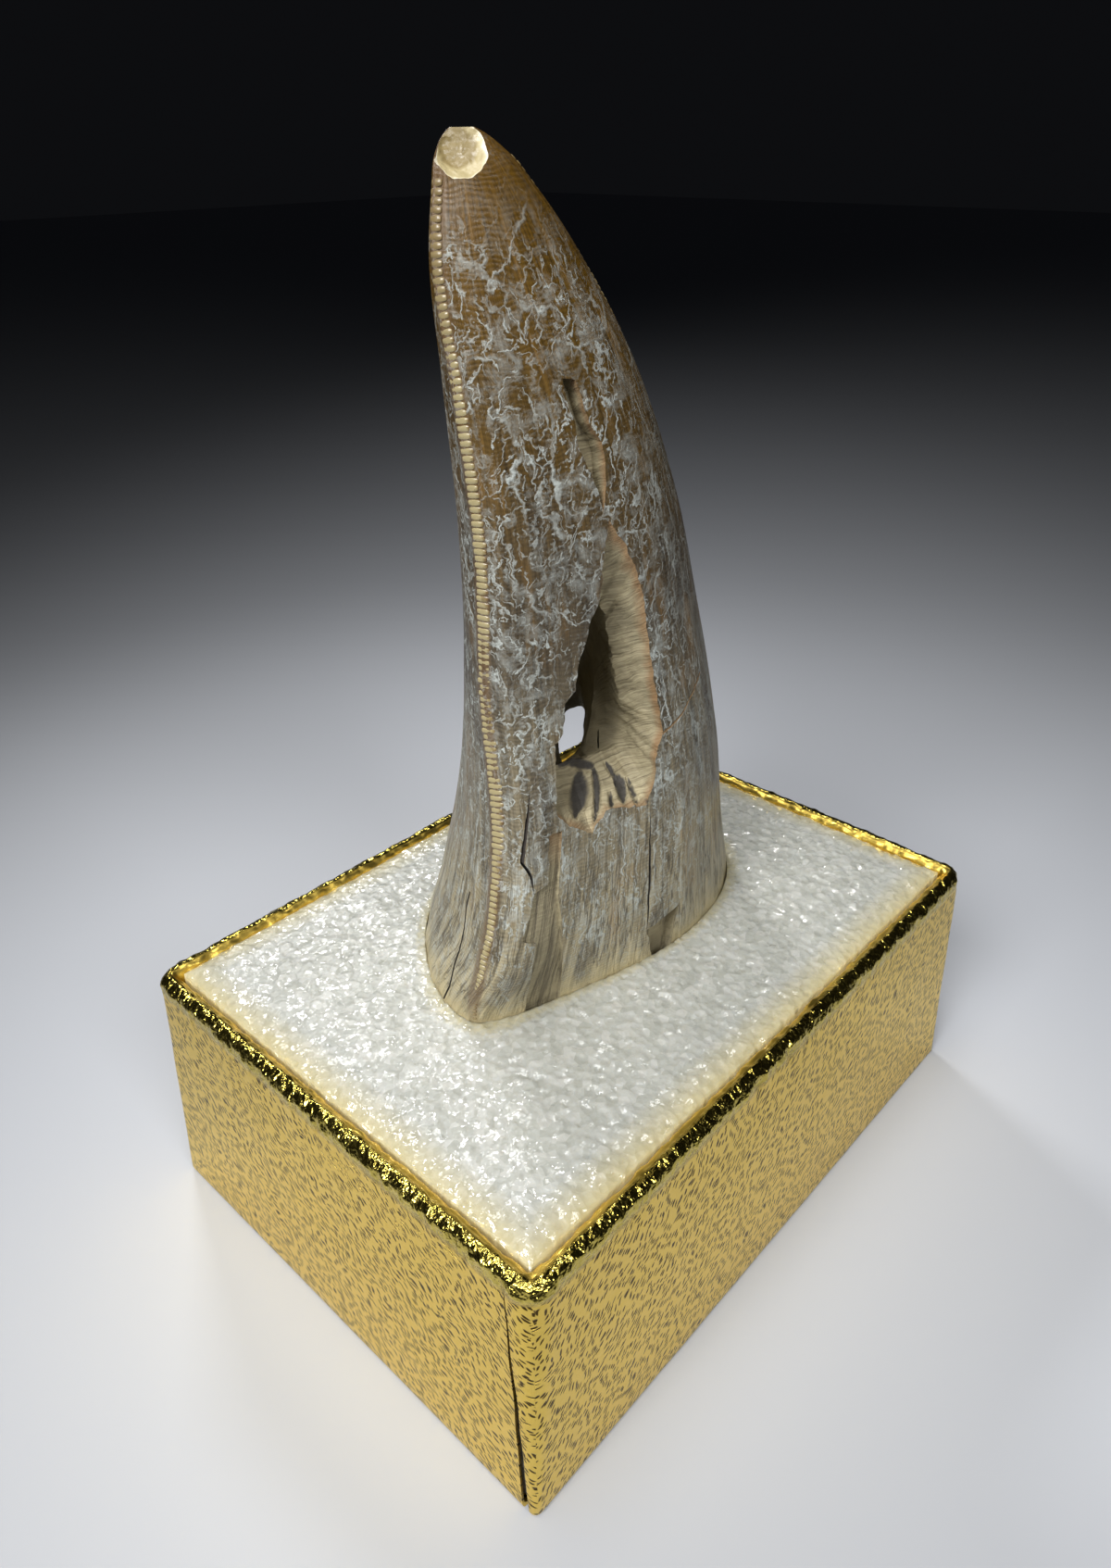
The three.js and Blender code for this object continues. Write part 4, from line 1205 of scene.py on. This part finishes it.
def gold_foil_paper():
    """Gold-lacquered aluminium foil on paper, embossed with short flowing dashes: bright
    satin gold, darker in the dashes."""
    material, tree = blank("gold_foil_paper")
    place = millimetres(tree)
    sheet = add(tree, "UVMap", uv_map="sheet")
    sheet = add(tree, "VectorMath", {0: sheet, "Scale": 1 / MM}, operation="SCALE")
    flow = add(tree, "TexNoise", {"Vector": sheet, "Scale": 0.25, "Detail": 2}, out="Color")
    flow = add(tree, "VectorMath", {0: flow, 1: (0.5, 0.5, 0.5)}, operation="SUBTRACT")
    flow = add(tree, "VectorMath", {0: flow, 1: (2.2, 2.2, 0), 2: sheet}, operation="MULTIPLY_ADD")
    turned = add(tree, "Mapping", {"Vector": flow, "Rotation": (0, 0, 0.9)}, vector_type="POINT")
    dashes = add(tree, "VectorMath", {0: turned, 1: (0.9, 3.4, 0)}, operation="MULTIPLY")
    dash = add(tree, "TexVoronoi", {"Vector": dashes, "Scale": 1}, voronoi_dimensions="2D")
    dash = add(tree, "MapRange", {0: dash, 1: 0.31, 2: 0.2})
    # The rim was rubbed smooth as it was folded, and is crinkled instead
    rim = add(tree, "SeparateXYZ", {0: place}, out=2)
    rim = add(tree, "MapRange", {0: rim, 1: BOX_HEIGHT - 1.8, 2: BOX_HEIGHT - 1.3})
    wall = add(tree, "Math", {0: 1, 1: rim}, operation="SUBTRACT")
    inset = add(tree, "Attribute", out="Fac", attribute_name="inset")
    fold = add(tree, "MapRange", {0: inset, 1: 1.25, 2: 0.95})
    fold = add(tree, "Math", {0: fold, 1: rim}, operation="MULTIPLY")
    dash = add(tree, "Math", {0: dash, 1: wall}, operation="MULTIPLY")
    colour = add(tree, "Mix", {
        0: dash, 6: linear("#ebca60"), 7: linear("#4e3b0d")}, 2, data_type="RGBA")
    colour = add(tree, "Mix", {0: fold, 6: colour, 7: linear("#cdb85a")}, 2, data_type="RGBA")
    rough = add(tree, "MapRange", {0: fold, 3: 0.34, 4: 0.2})
    wavy = add(tree, "TexNoise", {"Vector": sheet, "Scale": 1.2, "Detail": 3})
    pleats = add(tree, "TexNoise", {"Vector": place, "Scale": 1.5, "Detail": 2})
    pleats = add(tree, "Math", {0: pleats, 1: fold}, operation="MULTIPLY")
    relief = add(tree, "Math", {0: dash, 1: -0.8, 2: wavy}, operation="MULTIPLY_ADD")
    relief = add(tree, "Math", {0: pleats, 1: 6, 2: relief}, operation="MULTIPLY_ADD")
    normal = add(tree, "Bump", {"Height": relief, "Strength": 0.7, "Distance": 0.00008})
    surface = add(tree, "BsdfPrincipled", {
        "Base Color": colour, "Metallic": 1, "Roughness": rough, "Normal": normal})
    add(tree, "OutputMaterial", {"Surface": surface})
    return material


def grey_board():
    """Recycled grey board, pressed: matt, with darker flecks of fibre."""
    material, tree = blank("grey_board")
    place = millimetres(tree)
    fleck = add(tree, "TexNoise", {"Vector": place, "Scale": 2, "Detail": 6, "Roughness": 0.7})
    colour = add(tree, "ValToRGB", {0: fleck}, stops=[
        (0.3, "#6f6658"), (0.5, "#9b9486"), (0.7, "#aca596")])
    normal = add(tree, "Bump", {"Height": fleck, "Strength": 0.4, "Distance": 0.0002})
    surface = add(tree, "BsdfPrincipled", {
        "Base Color": colour, "Roughness": 0.9, "Normal": normal})
    add(tree, "OutputMaterial", {"Surface": surface})
    return material


def studio_paper():
    """Matt white paper under the object."""
    material, tree = blank("studio_paper")
    surface = add(tree, "BsdfPrincipled", {"Base Color": linear("#c8cbd1"), "Roughness": 0.6})
    add(tree, "OutputMaterial", {"Surface": surface})
    return material


def camera():
    """The photograph's camera: a wide lens close to the object, looking down on it."""
    data = bpy.data.cameras.new("camera")
    data.lens = FOCAL_LENGTH
    data.sensor_width = SENSOR
    data.clip_start = 5 * MM
    eye = bpy.data.objects.new("camera", data)
    bpy.context.scene.collection.objects.link(eye)
    back = Vector((
        math.sin(CAMERA_AZIMUTH) * math.cos(CAMERA_ELEVATION),
        -math.cos(CAMERA_AZIMUTH) * math.cos(CAMERA_ELEVATION),
        math.sin(CAMERA_ELEVATION),
    ))
    aim = (-back).to_track_quat("-Z", "Y").to_matrix() @ Matrix.Rotation(CAMERA_ROLL, 3, "Z")
    eye.matrix_world = Matrix.Translation(Vector(CAMERA_PLACE) * MM) @ aim.to_4x4()
    bpy.context.scene.camera = eye


def soft_light(name, place, size, watts):
    """A rectangular light with a grid in front, turned to the object."""
    data = bpy.data.lights.new(name, "AREA")
    data.shape = "RECTANGLE"
    data.size, data.size_y = size[0] * MM, size[1] * MM
    data.energy = watts
    data.spread = LIGHT_SPREAD
    lamp = bpy.data.objects.new(name, data)
    bpy.context.scene.collection.objects.link(lamp)
    lamp.location = Vector(place) * MM
    sight = Vector(LIGHT_AIM) - Vector(place)
    lamp.rotation_euler = sight.to_track_quat("-Z", "Y").to_euler()


def studio():
    """Pale floor, soft lights and a dim room."""
    corners = FLOOR_REACH * np.array([(-1, -1, 0), (1, -1, 0), (1, 1, 0), (-1, 1, 0)])
    floor = shaped("floor", corners, [(0, 1, 2, 3)], studio_paper())
    for light in LIGHTS:
        soft_light(*light)
    room = bpy.data.worlds.new("room")
    room.use_nodes = True
    glow = room.node_tree.nodes["Background"].inputs
    glow["Color"].default_value = linear("#1c1d20")
    glow["Strength"].default_value = 0.35
    bpy.context.scene.world = room
    bpy.context.scene.view_settings.view_transform = "Standard"


camera()
studio()

tooth = fossil_tooth(fossil_enamel(), worn_serration(), broken_dentine(), spalled_tip())
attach(tooth, "root")
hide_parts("tooth")

foam = foam_block(closed_cell_foam())
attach(foam, "root")
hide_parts("foam_pad")

cover = foil_cover(gold_foil_paper())
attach(cover, "root")
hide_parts("foil_wrap")

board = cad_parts["card_tray"].data.materials
board.clear()
board.append(grey_board())
